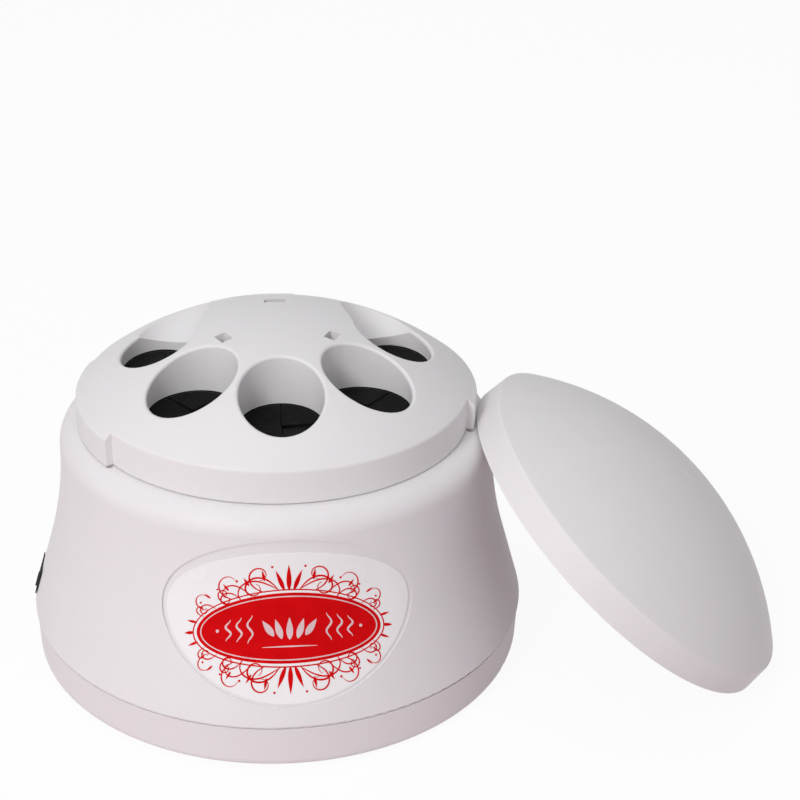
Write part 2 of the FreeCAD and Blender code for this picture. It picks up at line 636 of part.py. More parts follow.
clamp_spots = [("clamp_c", "0"), ("-clamp_c", "0")]
padded(dish, "clamp_bosses", rounds(
    new_sketch(dish, "clamp_boss_sketch", up=MICA_Z),
    [s + ("clamp_boss",) for s in clamp_spots]), "heater_t+mica_t")
padded(dish, "clamp_boss_holes", rounds(
    new_sketch(dish, "clamp_hole_sketch", up=MICA_Z),
    [s + ("clip_screw+screw_play",) for s in clamp_spots]), "clamp_bite+0.4", cut=True)
screws = []
for i in range(4):
    spot = polar("dish_screw_c", "45+90*%d" % i)
    screws.append(screw("dish_screw_%d" % i, "dish_screw", "clip_head", "clip_head_h",
                        "bowl_z-%s+dish_t+dish_bite" % DISH_TOP, spot[0], spot[1],
                        "%s-dish_t" % DISH_TOP))
dish_screws = group("dish_screws", screws)
heater = brick("ptc_heater", "heater_x", "heater_y", "heater_t", "0", "0",
               "%s-heater_t" % DISH_LOW)
mica = brick("heater_mica", "heater_x", "heater_y", "mica_t", "0", "0", MICA_Z)
clamp = cut_from("heater_clamp", brick("clamp_plate", "clamp_x", "clamp_y", "clamp_t",
                                       "0", "0", CLAMP_Z),
                 [drum("clamp_hole_%d" % i, "clip_screw+screw_play", "clamp_t", s[0], s[1],
                       CLAMP_Z) for i, s in enumerate(clamp_spots)])
clamp_screws = group("clamp_screws", [
    screw("clamp_screw_%d" % i, "clip_screw", "clip_head", "clip_head_h",
          "clamp_t+clamp_bite", s[0], s[1], CLAMP_Z) for i, s in enumerate(clamp_spots)])
thermostat = drum("thermostat", "stat_r", "stat_h", "0", "stat_y", "%s-stat_h" % DISH_LOW)

# ---- heat shield on three feet ----
shield = new_body("heat_shield")
padded(shield, "shield", rounds(new_sketch(shield, "shield_disc", up="shield_z"),
       [("0", "0", "shield_r")]), "shield_t")
shield_bore = rounds(new_sketch(shield, "shield_bore_sketch", up="shield_z"),
                     [("0", "shield_c", "clip_screw+screw_play")])
ring_of(shield, "shield_bores", padded(shield, "shield_bore", shield_bore, "shield_t", cut=True), 3)
shield_screws = group("shield_screws", [
    screw("shield_screw_%d" % i, "clip_screw", "clip_head", "clip_head_h",
          "shield_t+shield_bite", "shield_c*cos(90+120*%d)" % i,
          "shield_c*sin(90+120*%d)" % i, "shield_z+shield_t", upward=False)
    for i in range(3)])

# ---- control board with its parts and the power inlet ----
BOARD_MID = "(%s-board_y/2)" % BOARD_BACK
BOARD_TOP = "(board_z+board_t)"
control_board = cut_from("control_board", brick("board_plate", "board_x", "board_y", "board_t",
                                                "0", BOARD_MID, "board_z"),
                         [drum("board_hole_%d" % i, "clip_screw+screw_play", "board_t",
                               s[0], s[1], "board_z") for i, s in enumerate(board_spots)])
board_screws = group("board_screws", [
    screw("board_screw_%d" % i, "clip_screw", "clip_head", "clip_head_h",
          "board_t+board_bite", s[0], s[1], BOARD_TOP, upward=False)
    for i, s in enumerate(board_spots)])
relay = brick("board_relay", "relay_x", "relay_y", "relay_h", "-board_x/4-1", BOARD_MID, BOARD_TOP)
chip = brick("board_chip", "chip_x", "chip_y", "chip_h", "board_x/4+1", BOARD_MID, BOARD_TOP)
can = drum("board_capacitor", "can_r", "can_h", "0", "%s-board_y/4-1" % BOARD_MID, BOARD_TOP)
jack_box = brick("jack_box", "jack_x", "jack_y", "jack_h", "0", "%s-jack_y/2" % JACK_Y, BOARD_TOP)
barrel = primitive("Part::Cylinder", "jack_barrel", Radius="jack_bore", Height="jack_deep")
barrel.Placement = FreeCAD.Placement(V(0, 0, 0), FreeCAD.Rotation(V(1, 0, 0), -90))
place(barrel, 0, "%s-jack_deep" % JACK_Y, INLET_Z)
dc_jack = cut_from("dc_jack", jack_box, [barrel])
pin = primitive("Part::Cylinder", "dc_jack_pin", Radius="jack_pin", Height="jack_deep-1")
pin.Placement = FreeCAD.Placement(V(0, 0, 0), FreeCAD.Rotation(V(1, 0, 0), -90))
place(pin, 0, "%s-jack_deep" % JACK_Y, INLET_Z)

# ---- rocker switch: bezel with cell, rocker, two blades ----
ROCKER_R = "sqrt(rocker_w^2+rocker_up^2)"
CELL_R = "(%s+rocker_gap)" % ROCKER_R
PIVOT_Z = "(bezel_t-pivot_in)"
switch_body = new_body("switch_body")
padded(switch_body, "switch_core", rectangle(
    new_sketch(switch_body, "switch_core_sketch", up="-switch_deep"),
    "-switch_w/2", "-switch_h/2", "switch_w/2", "switch_h/2"), "switch_deep+bezel_t")
padded(switch_body, "bezel", rectangle(
    new_sketch(switch_body, "bezel_sketch"), "-bezel_w/2", "-bezel_h/2", "bezel_w/2",
    "bezel_h/2"), "bezel_t")
softened(switch_body, "bezel_corners", "bezel_round", lambda e: e.BoundBox.ZLength > val("bezel_t") * 0.9
         and e.BoundBox.XLength + e.BoundBox.YLength < 1e-6
         and abs(abs(e.BoundBox.XMax) - val("bezel_w") / 2) < 1e-6)
padded(switch_body, "cell", rectangle(
    new_sketch(switch_body, "cell_sketch", up="%s-%s" % (PIVOT_Z, CELL_R)),
    "-" + CELL_R, "-cell_h/2", CELL_R, "cell_h/2"), "%s+2*pivot_in" % CELL_R, cut=True)
at_switch(switch_body)
rocker = new_body("switch_rocker")
rocker_sketch = outline(new_sketch(rocker, "rocker_sketch", "XZ_Plane"), [
    ("rocker_w", "%s+rocker_up" % PIVOT_Z),
    ("0", "%s+rocker_up-rocker_dip" % PIVOT_Z),
    ("-rocker_w", "%s+rocker_up" % PIVOT_Z, ROCKER_R),
    ("0", "%s-%s" % (PIVOT_Z, ROCKER_R), ROCKER_R),
])
rocker_pad = padded(rocker, "rocker", rocker_sketch, "cell_h-2*rocker_gap")
rocker_pad.Midplane = True
at_switch(rocker, "-rocker_lean")
blades = []
for i, sign in enumerate(("", "-")):
    blade = new_body("blade_%d" % i)
    padded(blade, "blade_%d_pad" % i, rectangle(
        new_sketch(blade, "blade_%d_sketch" % i, up="-switch_deep-blade_out"),
        "%sblade_pitch/2-blade_t/2" % sign, "-blade_w/2",
        "%sblade_pitch/2+blade_t/2" % sign, "blade_w/2"), "blade_out")
    blades.append(at_switch(blade))
switch_terminals = group("switch_terminals", blades)

# ---- finger cover: domed shell with five wells; its lobed skirt ring carries the tabs ----
mass = new_body("cover_mass")
LOBE_ROOT = "(recess_r-3*crease_round)"


def skirt_side(radius):
    """Skirt from its lower edge up, its crease rounded with an arc that touches both
    the skirt and the dome."""
    reach = "((%s)-crease_round)" % radius
    rise = "sqrt((dome_bend-crease_round)^2-%s^2)" % reach
    grow = "(dome_bend/(dome_bend-crease_round))"
    return [
        (radius, "skirt_z"),
        (radius, "%s+%s" % (DOME_Z, rise), "crease_round"),
        ("%s*%s" % (reach, grow), "%s+%s*%s" % (DOME_Z, rise, grow), "dome_bend"),
    ]


turned(mass, "mass", [("0", "skirt_z")] + skirt_side("recess_r") + [("0", "dome_top")])
lobe = turned(mass, "lobe", [(LOBE_ROOT, "skirt_z")] + skirt_side("lobe_r")
              + [(LOBE_ROOT, dome_z(LOBE_ROOT))], span="lobe_span", turn="lobe_turn-90")
ring_of(mass, "lobes", lobe, 2)
hollow = new_body("cover_hollow")
turned(hollow, "hollow", [
    ("0", "skirt_z-1"), ("recess_r-skirt_t", "skirt_z-1"),
    ("recess_r-skirt_t", dome_z("(recess_r-skirt_t)", "cover_t"), "dome_bend-cover_t"),
    ("0", "dome_top-cover_t"),
])
pocket = turned(hollow, "lobe_hollow", [
    (LOBE_ROOT, "skirt_z-1"), ("lobe_r-skirt_t", "skirt_z-1"),
    ("lobe_r-skirt_t", dome_z("(lobe_r-skirt_t)", "cover_t"), "dome_bend-cover_t"),
    (LOBE_ROOT, dome_z(LOBE_ROOT, "cover_t")),
], span="lobe_span-360/3.14159*skirt_t/lobe_r", turn="lobe_turn-90")
ring_of(hollow, "lobe_hollows", pocket, 2)
shell = cut_from("cover_shell", mass, [hollow])
ring_room = drum("ring_room", "2*lobe_r", RING_TOP + "-skirt_z+1", 0, 0, "skirt_z-1")
cover_ring = shared("cover_ring", [shell, ring_room])

PLATE_TOP = "(well_floor-skin_t)"
WELLS = [
    ("-side_turn", "side_c", "side_a", "side_b"), ("-well_turn", "well_c", "well_a", "well_b"),
    ("0", "well_c", "well_a", "well_b"), ("well_turn", "well_c", "well_a", "well_b"),
    ("side_turn", "side_c", "side_a", "side_b"),
]


def well_bar(name, well, grow, height, z):
    """Elliptic bar over a well, wider by a margin; its long axis is the larger one."""
    turn, centre, radial, across = well
    spot = polar(centre, turn)
    if val(radial) > val(across):
        sizes = (radial, across, "%s-90" % turn)
    else:
        sizes = (across, radial, turn)
    return oval_bar(name, "%s+%s" % (sizes[0], grow), "%s+%s" % (sizes[1], grow), height,
                    spot[0], spot[1], z, sizes[2])


def groove_bar(name, radius, mirror):
    """Rising bar from a side well towards the back."""
    heading = val("groove_turn")
    if mirror:
        heading = 180 - heading
    bar = primitive("Part::Cylinder", name, Radius=radius, Height="plate_r")
    across = V(-math.sin(math.radians(heading)), math.cos(math.radians(heading)), 0)
    spot = polar("side_c", "-side_turn" if mirror else "side_turn")
    height = "well_floor+groove_r/cos(groove_rise)-tan(groove_rise)*(groove_start-(%s))" % spot[1]
    return place(bar, spot[0], spot[1], height, across, "90-groove_rise")


HIGH = "(dome_top-well_floor+5)"
tubes = [well_bar("tube_%d" % i, w, "well_wall", HIGH, "well_floor")
         for i, w in enumerate(WELLS)]
troughs = [groove_bar("trough_%d" % i, "groove_r+groove_wall", i == 0) for i in range(2)]
above = brick("above_floor", "3*lobe_r", "3*lobe_r", HIGH, "0", "0", "well_floor")
trough_part = shared("trough_part", [joined("trough_pair", troughs), above])
CLIPS = [
    polar("clip_c", "-clip_turn_side"), polar("clip_c", "-clip_turn"),
    polar("clip_c", "clip_turn"), polar("clip_c", "clip_turn_side"),
    ("0", "clip_rear_c"),
]
clip_bosses = [drum("clip_boss_%d" % i, "clip_boss", HIGH, s[0], s[1], PLATE_TOP)
               for i, s in enumerate(CLIPS)]
SEAL_TOP = "(%s+seal_h)" % BOWL_TOP
rib = cut_from("press_rib", drum("rib_out", "rib_in+rib_w", HIGH, 0, 0, SEAL_TOP + "+rib_gap"),
               [drum("rib_core", "rib_in", HIGH, 0, 0, SEAL_TOP + "+rib_gap")])
ceiling = place(primitive("Part::Sphere", "ceiling", Radius="dome_bend-cover_t/2"), 0, 0, DOME_Z)
room = drum("room", "recess_r-skirt_t/2", HIGH + "+plate_t+skin_t", 0, 0, "collar_top")
inner = shared("cover_inner", [joined("cover_features", tubes + [trough_part, rib] + clip_bosses),
                               ceiling, room])
lock_tabs = group("lock_tabs", [lock_piece("lock_tab_%d" % i, [
    ("collar_r+lug_out-tab_bite", "lug_z-tab_gap-lug_h"),
    ("recess_r-skirt_t", "lug_z-tab_gap-lug_h"),
    ("recess_r-skirt_t", "lug_z-tab_gap"),
    ("collar_r+lug_out-tab_bite", "lug_z-tab_gap"),
], "tab_span", "lug_turn+lock_turn+180*%d" % i) for i in range(2)])
arrow_bar = new_body("arrow_bar")
turned(arrow_bar, "arrow_arc", [
    ("arrow_c-arrow_w/2", "well_floor"), ("arrow_c+arrow_w/2", "well_floor"),
    ("arrow_c+arrow_w/2", "dome_top"), ("arrow_c-arrow_w/2", "dome_top"),
], span="arrow_span", turn="arrow_turn")
arrow_head = new_body("arrow_head")
padded(arrow_head, "arrow_tip", outline(new_sketch(arrow_head, "arrow_tip_sketch", up="well_floor"), [
    ("arrow_c-2*arrow_w", "0"), ("arrow_c+2*arrow_w", "0"), ("arrow_c", "3*arrow_w")]),
    "dome_top-well_floor")
arrow_head.Placement = FreeCAD.Placement(V(0, 0, 0), FreeCAD.Rotation(
    V(0, 0, 1), val("arrow_turn+arrow_span/2")))
dome_skin = place(primitive("Part::Sphere", "dome_skin", Radius="dome_bend+arrow_up"),
                  0, 0, DOME_Z)
arrow = shared("arrow", [joined("arrow_parts", [arrow_bar, arrow_head]), dome_skin,
                         brick("arrow_room", "2*lobe_r", "2*lobe_r", HIGH, "0", "0",
                               "well_floor+5")])
closed = joined("cover_closed", [shell, inner, arrow])
bores = [well_bar("bore_%d" % i, w, "0", HIGH + "+5", "well_floor-5") for i, w in enumerate(WELLS)]
grooves = [groove_bar("groove_%d" % i, "groove_r", i == 0) for i in range(2)]


def vent_block(name, centre, turn, radial, across):
    """Box through the dome, its sides along and across the radius."""
    block = primitive("Part::Box", name, Length=radial, Width=across, Height=HIGH)
    spot = polar(centre, turn)
    half = "%s-((%s)/2*sin(%s)+(%s)/2*cos(%s))" % (spot[0], radial, turn, across, turn)
    side = "%s+((%s)/2*cos(%s)-(%s)/2*sin(%s))" % (spot[1], radial, turn, across, turn)
    return place(block, half, side, "well_floor", V(0, 0, 1), "%s-90" % turn)


vents = [
    vent_block("vent_0", "vent_c", "vent_turn", "vent_a", "vent_b"),
    vent_block("vent_1", "vent_c", "-vent_turn", "vent_a", "vent_b"),
    vent_block("vent_2", "rear_vent_c", "180", "rear_vent_a", "rear_vent_b"),
]
clip_holes = [drum("clip_hole_%d" % i, "clip_screw+screw_play", "clip_bite+0.4", s[0], s[1],
                   PLATE_TOP) for i, s in enumerate(CLIPS)]
cover_cut = cut_from("cover_cut", closed, bores + grooves + vents + clip_holes)
doc.recompute()


def well_lip(edge):
    """True for an edge between the dome and the side of a well or of its groove."""
    if edge.Degenerated:
        return False
    centre = V(0, 0, val(DOME_Z))
    off = [abs(p.distanceToPoint(centre) - val("dome_bend")) for p in edge.discretize(7)]
    if max(off) > 1e-3:
        return False
    for face in cover_cut.Shape.ancestorsOfType(edge, Part.Face):
        if isinstance(face.Surface, Part.SurfaceOfExtrusion):
            return True
        if isinstance(face.Surface, Part.Cylinder):
            if abs(face.Surface.Radius - val("groove_r")) < 1e-6:
                return True
    return False


lips = ["Edge%d" % (i + 1) for i, e in enumerate(cover_cut.Shape.Edges) if well_lip(e)]
cover_soft = doc.addObject("Part::Fillet", "cover_soft")
cover_soft.Base = cover_cut
cover_soft.Edges = [(int(name[4:]), val("lip_soft"), val("lip_soft")) for name in lips]
finger_cover = cut_from("finger_cover", cover_soft, [ring_room])

# ---- five slit membranes, pressed up against the tubes by a screwed plate ----
membranes = []
for i, well in enumerate(WELLS):
    disc = well_bar("skin_%d" % i, well, "skin_rim", "skin_t", PLATE_TOP)
    spot = polar(well[1], well[0])
    slits = [
        primitive("Part::Box", "slit_%d_%d" % (i, k), Length="slit_part*2*%s" % size,
                  Width="slit_w", Height="skin_t")
        for k, size in enumerate((well[2], well[3]))]
    for slit, size, turn in zip(slits, (well[2], well[3]), ("%s-90" % well[0], well[0])):
        half = "(slit_part*%s)" % size
        place(slit, "%s-(%s*cos(%s)-slit_w/2*sin(%s))" % (spot[0], half, turn, turn),
              "%s-(%s*sin(%s)+slit_w/2*cos(%s))" % (spot[1], half, turn, turn),
              PLATE_TOP, V(0, 0, 1), turn)
    membranes.append(cut_from("finger_membrane_%d" % (i + 1), disc, slits))
plate_z = PLATE_TOP + "-plate_t"
retainer = cut_from("membrane_retainer", drum("plate_disc", "plate_r", "plate_t", 0, 0, plate_z), [
    drum("plate_eye", "plate_hole", "plate_t", 0, 0, plate_z)]
    + [well_bar("plate_well_%d" % i, w, "0", "plate_t", plate_z) for i, w in enumerate(WELLS)]
    + [drum("plate_bore_%d" % i, "clip_screw+screw_play", "plate_t", s[0], s[1], plate_z)
       for i, s in enumerate(CLIPS)])
retainer_screws = group("retainer_screws", [
    screw("retainer_screw_%d" % i, "clip_screw", "clip_head", "clip_head_h",
          "plate_t+clip_bite", s[0], s[1], plate_z) for i, s in enumerate(CLIPS)])

seal = new_body("cover_seal")
turned(seal, "seal", [
    ("seal_in", BOWL_TOP), (FLANGE_R, BOWL_TOP), (FLANGE_R, SEAL_TOP), ("seal_in", SEAL_TOP),
])

# ---- closed lid, leaning on the cover's lobe with its rim on the table ----
CAP_BEND = "(((lobe_r-cap_taper)^2+cap_rise^2)/(2*cap_rise))"
CAP_IN = "(lobe_r-cap_taper-cap_t)"
cap = new_body("cap")
turned(cap, "cap_shell", [
    ("lobe_r-cap_t", "0"), ("lobe_r", "0"), ("lobe_r-cap_taper", "cap_skirt", CAP_BEND),
    ("0", "cap_skirt+cap_rise"), ("0", "cap_skirt+cap_rise-cap_t", "-(%s-cap_t)" % CAP_BEND),
    (CAP_IN, "cap_skirt+cap_rise-%s+sqrt((%s-cap_t)^2-%s^2)" % (CAP_BEND, CAP_BEND, CAP_IN)),
])
softened(cap, "cap_crease", "cap_round",
         lambda e: on_circle(e, "lobe_r-cap_taper", "cap_skirt"))
tilt = FreeCAD.Rotation(V(0, 1, 0), val("cap_tilt"))
heading = FreeCAD.Rotation(V(0, 0, 1), val("cap_heading"))
reach = "(lobe_r+lean_gap+lobe_r*cos(cap_tilt))"
cap.Placement = FreeCAD.Placement(V(
    val("%s*cos(cap_bearing)" % reach), val("%s*sin(cap_bearing)" % reach),
    val("lobe_r*sin(cap_tilt)+floor_gap")), heading.multiply(tilt))

NODES = [
    housing, collar, collar_lugs, label_panel, pan, foot, base_screws, bowl_body, gasket, dish, dish_screws,
    heater, mica, clamp, clamp_screws, thermostat, shield, shield_screws, control_board,
    board_screws, relay, chip, can, dc_jack, pin, switch_body, rocker, switch_terminals,
    finger_cover, cover_ring, lock_tabs, retainer, retainer_screws, seal, cap,
] + membranes

doc.recompute()
for thing in doc.Objects:
    if "Invalid" in thing.State or "Error" in thing.State:
        raise ValueError("failed: " + thing.Name)
for node in NODES:
    shape = node.Shape
    if shape.isNull() or not shape.isValid() or not shape.Solids:
        raise ValueError("bad shape: " + node.Label)
if len(set(node.Label for node in NODES)) != len(NODES):
    raise ValueError("two sub-parts share a label")
os.makedirs("parts", exist_ok=True)
for node in NODES:
    node.Shape.exportStep("parts/%s.step" % node.Label)
    print(node.Label, len(node.Shape.Solids), round(node.Shape.Volume, 1))
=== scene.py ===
"""Looks of a nail steamer: a round white machine with a domed five-finger cover, and its
closed lid leaning on it. Lengths are metres in the part's frame, +Z up, front along -Y."""

import math

import bmesh
import bpy
import numpy as np
from mathutils import Matrix, Vector


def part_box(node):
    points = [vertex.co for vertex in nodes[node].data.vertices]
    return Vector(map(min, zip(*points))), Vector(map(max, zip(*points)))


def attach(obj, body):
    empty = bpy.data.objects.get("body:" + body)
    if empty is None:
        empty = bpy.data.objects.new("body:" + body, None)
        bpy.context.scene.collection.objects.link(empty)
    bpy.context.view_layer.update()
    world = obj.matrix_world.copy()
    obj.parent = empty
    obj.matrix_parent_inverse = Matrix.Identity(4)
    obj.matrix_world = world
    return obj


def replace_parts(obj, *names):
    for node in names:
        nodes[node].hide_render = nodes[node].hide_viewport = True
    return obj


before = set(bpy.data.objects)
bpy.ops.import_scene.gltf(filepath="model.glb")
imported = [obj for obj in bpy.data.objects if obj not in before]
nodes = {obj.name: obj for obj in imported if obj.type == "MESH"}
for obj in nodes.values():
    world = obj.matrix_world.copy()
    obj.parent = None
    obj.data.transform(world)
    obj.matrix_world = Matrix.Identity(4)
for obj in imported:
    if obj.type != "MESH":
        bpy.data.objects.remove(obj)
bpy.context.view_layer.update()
scene = bpy.context.scene
scene.view_settings.view_transform = "Standard"
MM = 0.001


# ---- camera and studio ----
# The machine stands on a pale table top in a small studio: a soft key lamp at the front
# left, a weak lamp overhead, and a white room that gives less light from behind.
LENS, SENSOR = 74.72, 36.0
CAMERA_SPOT = Vector((-15.59, -558.19, 376.14)) * MM
CAMERA_YAW, CAMERA_PITCH, CAMERA_ROLL = map(math.radians, (6.293, 26.408, 1.488))

camera = bpy.data.objects.new("camera", bpy.data.cameras.new("camera"))
scene.collection.objects.link(camera)
camera.data.lens, camera.data.sensor_width = LENS, SENSOR
camera.data.clip_start, camera.data.clip_end = 0.02, 20
look = Vector((math.sin(CAMERA_YAW) * math.cos(CAMERA_PITCH),
               math.cos(CAMERA_YAW) * math.cos(CAMERA_PITCH), -math.sin(CAMERA_PITCH)))
level = Vector((math.cos(CAMERA_YAW), -math.sin(CAMERA_YAW), 0))
above = level.cross(look)
right = level * math.cos(CAMERA_ROLL) + above * math.sin(CAMERA_ROLL)
up = above * math.cos(CAMERA_ROLL) - level * math.sin(CAMERA_ROLL)
turn = Matrix((right, up, -look)).transposed().to_4x4()
camera.matrix_world = Matrix.Translation(CAMERA_SPOT) @ turn
scene.camera = camera


class Strand:
    """A socket of a shader tree. +, * and ** between strands, or with a number, add one
    Math node; node() adds any other kind."""

    def __init__(self, tree, socket=None):
        self.tree, self.socket = tree, socket

    def node(self, kind, settings=None, inputs=None, output=0):
        """Adds a node: settings are set first, then values or strands go to its inputs."""
        made = self.tree.nodes.new(kind)
        for key, value in (settings or {}).items():
            setattr(made, key, value)
        for key, value in (inputs or {}).items():
            if isinstance(value, Strand):
                self.tree.links.new(value.socket, made.inputs[key])
            else:
                made.inputs[key].default_value = value
        return Strand(self.tree, made.outputs[output])

    def math(self, operation, *values):
        sockets = dict(enumerate(values))
        return self.node("ShaderNodeMath", {"operation": operation}, sockets)

    def __add__(self, other):
        return self.math("ADD", self, other)

    def __mul__(self, other):
        return self.math("MULTIPLY", self, other)

    def __pow__(self, other):
        return self.math("POWER", self, other)

    __radd__ = __add__

    def between(self, low, high):
        """0 at low, 1 at high, smooth in between; low may be above high."""
        return self.node("ShaderNodeMapRange", {"interpolation_type": "SMOOTHSTEP"},
                         {0: self, 1: low, 2: high, 3: 0.0, 4: 1.0})

    def tint(self, first, second):
        """A colour that goes from the first to the second as this strand goes 0 to 1."""
        first, second = ((*c, 1) if isinstance(c, tuple) else c for c in (first, second))
        return self.node("ShaderNodeMix", {"data_type": "RGBA"},
                         {0: self, 6: first, 7: second}, 2)

    def into(self, shader, name):
        self.tree.links.new(self.socket, shader.inputs[name])


def new_finish(name, **fixed):
    """A material with one Principled shader whose constant sockets are given."""
    material = bpy.data.materials.new(name)
    material.use_nodes = True
    tree = material.node_tree
    tree.nodes.clear()
    shader = tree.nodes.new("ShaderNodeBsdfPrincipled")
    output = tree.nodes.new("ShaderNodeOutputMaterial")
    tree.links.new(shader.outputs[0], output.inputs[0])
    for key, value in fixed.items():
        value = (*value, 1) if isinstance(value, tuple) and len(value) == 3 else value
        shader.inputs[key.replace("_", " ")].default_value = value
    return material, Strand(tree), shader


def put_mesh(name, points, faces, material, smooth=True):
    """A mesh object at the origin from arrays of points in millimetres and of faces; points
    that coincide are merged, so seams and rings are closed."""
    mesh = bpy.data.meshes.new(name)
    mesh.from_pydata((np.asarray(points, float) * MM).tolist(), [],
                     np.asarray(faces).tolist())
    welded = bmesh.new()
    welded.from_mesh(mesh)
    bmesh.ops.remove_doubles(welded, verts=welded.verts, dist=1e-7)
    welded.to_mesh(mesh)
    welded.free()
    mesh.polygons.foreach_set("use_smooth", np.full(len(mesh.polygons), smooth))
    mesh.update()
    piece = bpy.data.objects.new(name, mesh)
    scene.collection.objects.link(piece)
    mesh.materials.append(material)
    return piece


FLOOR_HALF = 4000.0
FLOOR_BOUNCE = (0.82, 0.71, 0.75)
FLOOR_SEEN, FLOOR_GLOW = (0.96, 0.96, 0.96), 0.93
floor_finish, paint, shader = new_finish("table_top", Roughness=0.9, Specular_IOR_Level=0.0)
path = paint.tree.nodes.new("ShaderNodeLightPath")
seen = Strand(paint.tree, path.outputs["Is Camera Ray"])
seen = seen.math("MAXIMUM", seen, Strand(paint.tree, path.outputs["Is Glossy Ray"]))
seen.tint(FLOOR_BOUNCE, FLOOR_SEEN).into(shader, "Base Color")
glow = paint.tree.nodes.new("ShaderNodeEmission")
mix = paint.tree.nodes.new("ShaderNodeMixShader")
paint.tree.links.new((seen * FLOOR_GLOW).socket, mix.inputs[0])
paint.tree.links.new(shader.outputs[0], mix.inputs[1])
paint.tree.links.new(glow.outputs[0], mix.inputs[2])
target = [n for n in paint.tree.nodes if n.type == "OUTPUT_MATERIAL"][0]
paint.tree.links.new(mix.outputs[0], target.inputs[0])
corners = [(-FLOOR_HALF, -FLOOR_HALF, 0), (FLOOR_HALF, -FLOOR_HALF, 0),
           (FLOOR_HALF, FLOOR_HALF, 0), (-FLOOR_HALF, FLOOR_HALF, 0)]
floor = put_mesh("table_top", corners, [(0, 1, 2, 3)], floor_finish, smooth=False)

room = bpy.data.worlds.new("studio")
scene.world = room
room.use_nodes = True
room.node_tree.nodes.clear()
paint = Strand(room.node_tree)
path = room.node_tree.nodes.new("ShaderNodeLightPath")
seen = Strand(room.node_tree, path.outputs["Is Camera Ray"])
for kind in ("Is Glossy Ray", "Is Transmission Ray"):
    seen = seen.math("MAXIMUM", seen, Strand(room.node_tree, path.outputs[kind]))
FRONT_LIGHT, BACK_LIGHT, LIGHT_TURN = (0.455, 0.455, 0.46), (0.265, 0.267, 0.272), 0.8
ROOM_SEEN = (1.0, 1.0, 1.0)
way = paint.node("ShaderNodeTexCoord")
depth = paint.node("ShaderNodeSeparateXYZ", None, {0: way}, output=1)
light = depth.between(-LIGHT_TURN, LIGHT_TURN).tint(FRONT_LIGHT, BACK_LIGHT)
sky = seen.tint(light, ROOM_SEEN)
back = paint.node("ShaderNodeBackground", None, {"Color": sky, "Strength": 1.0})
target = room.node_tree.nodes.new("ShaderNodeOutputWorld")
room.node_tree.links.new(back.socket, target.inputs[0])

AIM = Vector((0.03, 0.0, 0.07))
for name, bearing, height, distance, size, strength, colour in (
        ("key_lamp", -35, 36, 1.6, 0.5, 0.42, (1.0, 0.998, 0.995)),
        ("top_lamp", -60, 82, 1.5, 1.1, 0.18, (0.97, 1.0, 1.0))):
    lamp = bpy.data.objects.new(name, bpy.data.lights.new(name, "AREA"))
    scene.collection.objects.link(lamp)
    a, e = math.radians(bearing), math.radians(height)
    away = Vector((math.sin(a) * math.cos(e), -math.cos(a) * math.cos(e), math.sin(e)))
    lamp.location = AIM + away * distance
    lamp.rotation_mode = "QUATERNION"
    lamp.rotation_quaternion = away.to_track_quat("Z", "Y")
    lamp.data.shape, lamp.data.size, lamp.data.color = "DISK", size, colour
    lamp.data.energy = strength * math.pi ** 2 * distance ** 2


# ---- housing, base pan, cover and lid: satin white moulded plastic ----
# Four large mouldings of one white resin. The mould leaves a very fine grain and faint
# clouds of gloss. Each moulding has its own copy of the colour: the pan and the upright
# walls are painted a touch warmer and pinker than the tops, as painted bounce light from
# the table, the cover's tops a touch lighter as painted light, and the lid a touch darker
# as painted shade.
def satin_white(name, colour, warm, gloss):
    """Moulded white: slow clouds mix the colour to a warmer one, and a fine spark grain
    raises bumps of a few microns."""
    material, paint, shader = new_finish(name, Specular_IOR_Level=0.35,
                                         Subsurface_Weight=0.06, Subsurface_Scale=0.002)
    spot = paint.node("ShaderNodeTexCoord", output=3)
    clouds = paint.node("ShaderNodeTexNoise", None, {
        "Vector": spot, "Scale": 22.0, "Detail": 3.0, "Roughness": 0.55})
    clouds.between(0.3, 0.7).tint(colour, warm).into(shader, "Base Color")
    haze = paint.node("ShaderNodeTexNoise", None, {
        "Vector": spot, "Scale": 90.0, "Detail": 4.0, "Roughness": 0.6})
    (gloss + haze * 0.08).into(shader, "Roughness")
    grain = paint.node("ShaderNodeTexNoise", None, {
        "Vector": spot, "Scale": 2600.0, "Detail": 2.0, "Roughness": 0.7})
    bump = paint.node("ShaderNodeBump", None, {
        "Strength": 0.16, "Distance": 0.00006, "Height": grain})
    bump.into(shader, "Normal")
    return material


def dress(material, *names):
    """Gives CAD nodes a finish."""
    for name in names:
        piece = nodes[name]
        if not piece.material_slots:
            piece.data.materials.append(material)
        for slot in piece.material_slots:
            slot.material = material


# Painted light and shade: the four colours below are lit and shaded copies of one white, the pan
# pinker as painted bounce light, the cover lighter as painted light, the lid darker as painted
# shade.
dress(satin_white("housing_white", (0.825, 0.80, 0.81), (0.815, 0.785, 0.797), 0.46),
      "housing", "lock_collar", "collar_lugs")
dress(satin_white("pan_white_painted_bounce", (0.82, 0.785, 0.797), (0.81, 0.768, 0.783), 0.46), "base_pan")
dress(satin_white("cover_white", (0.825, 0.803, 0.813), (0.815, 0.79, 0.80), 0.44),
      "finger_cover", "cover_ring", "lock_tabs")
dress(satin_white("lid_white_painted_shade", (0.82, 0.795, 0.803), (0.81, 0.78, 0.79), 0.46), "cap")


# ---- chutes under the three vents ----
# The slots in the dome run down in short square chutes, so that their pale walls are seen
# through them and not the dark inside.
CHUTE_TOP, CHUTE_END, CHUTE_WALL, CHUTE_INSET = 128.0, 123.4, 0.9, 0.02
VENTS = ((22.2, 62.0, 4.3, 6.0), (22.2, -62.0, 4.3, 6.0), (23.0, 180.0, 4.7, 8.3))


def radius_and_side(turn_):
    """Unit vectors out from the round axis and across it, at a bearing from the front."""
    angle = math.radians(turn_)
    return (np.array([math.sin(angle), -math.cos(angle)]),
            np.array([math.cos(angle), math.sin(angle)]))


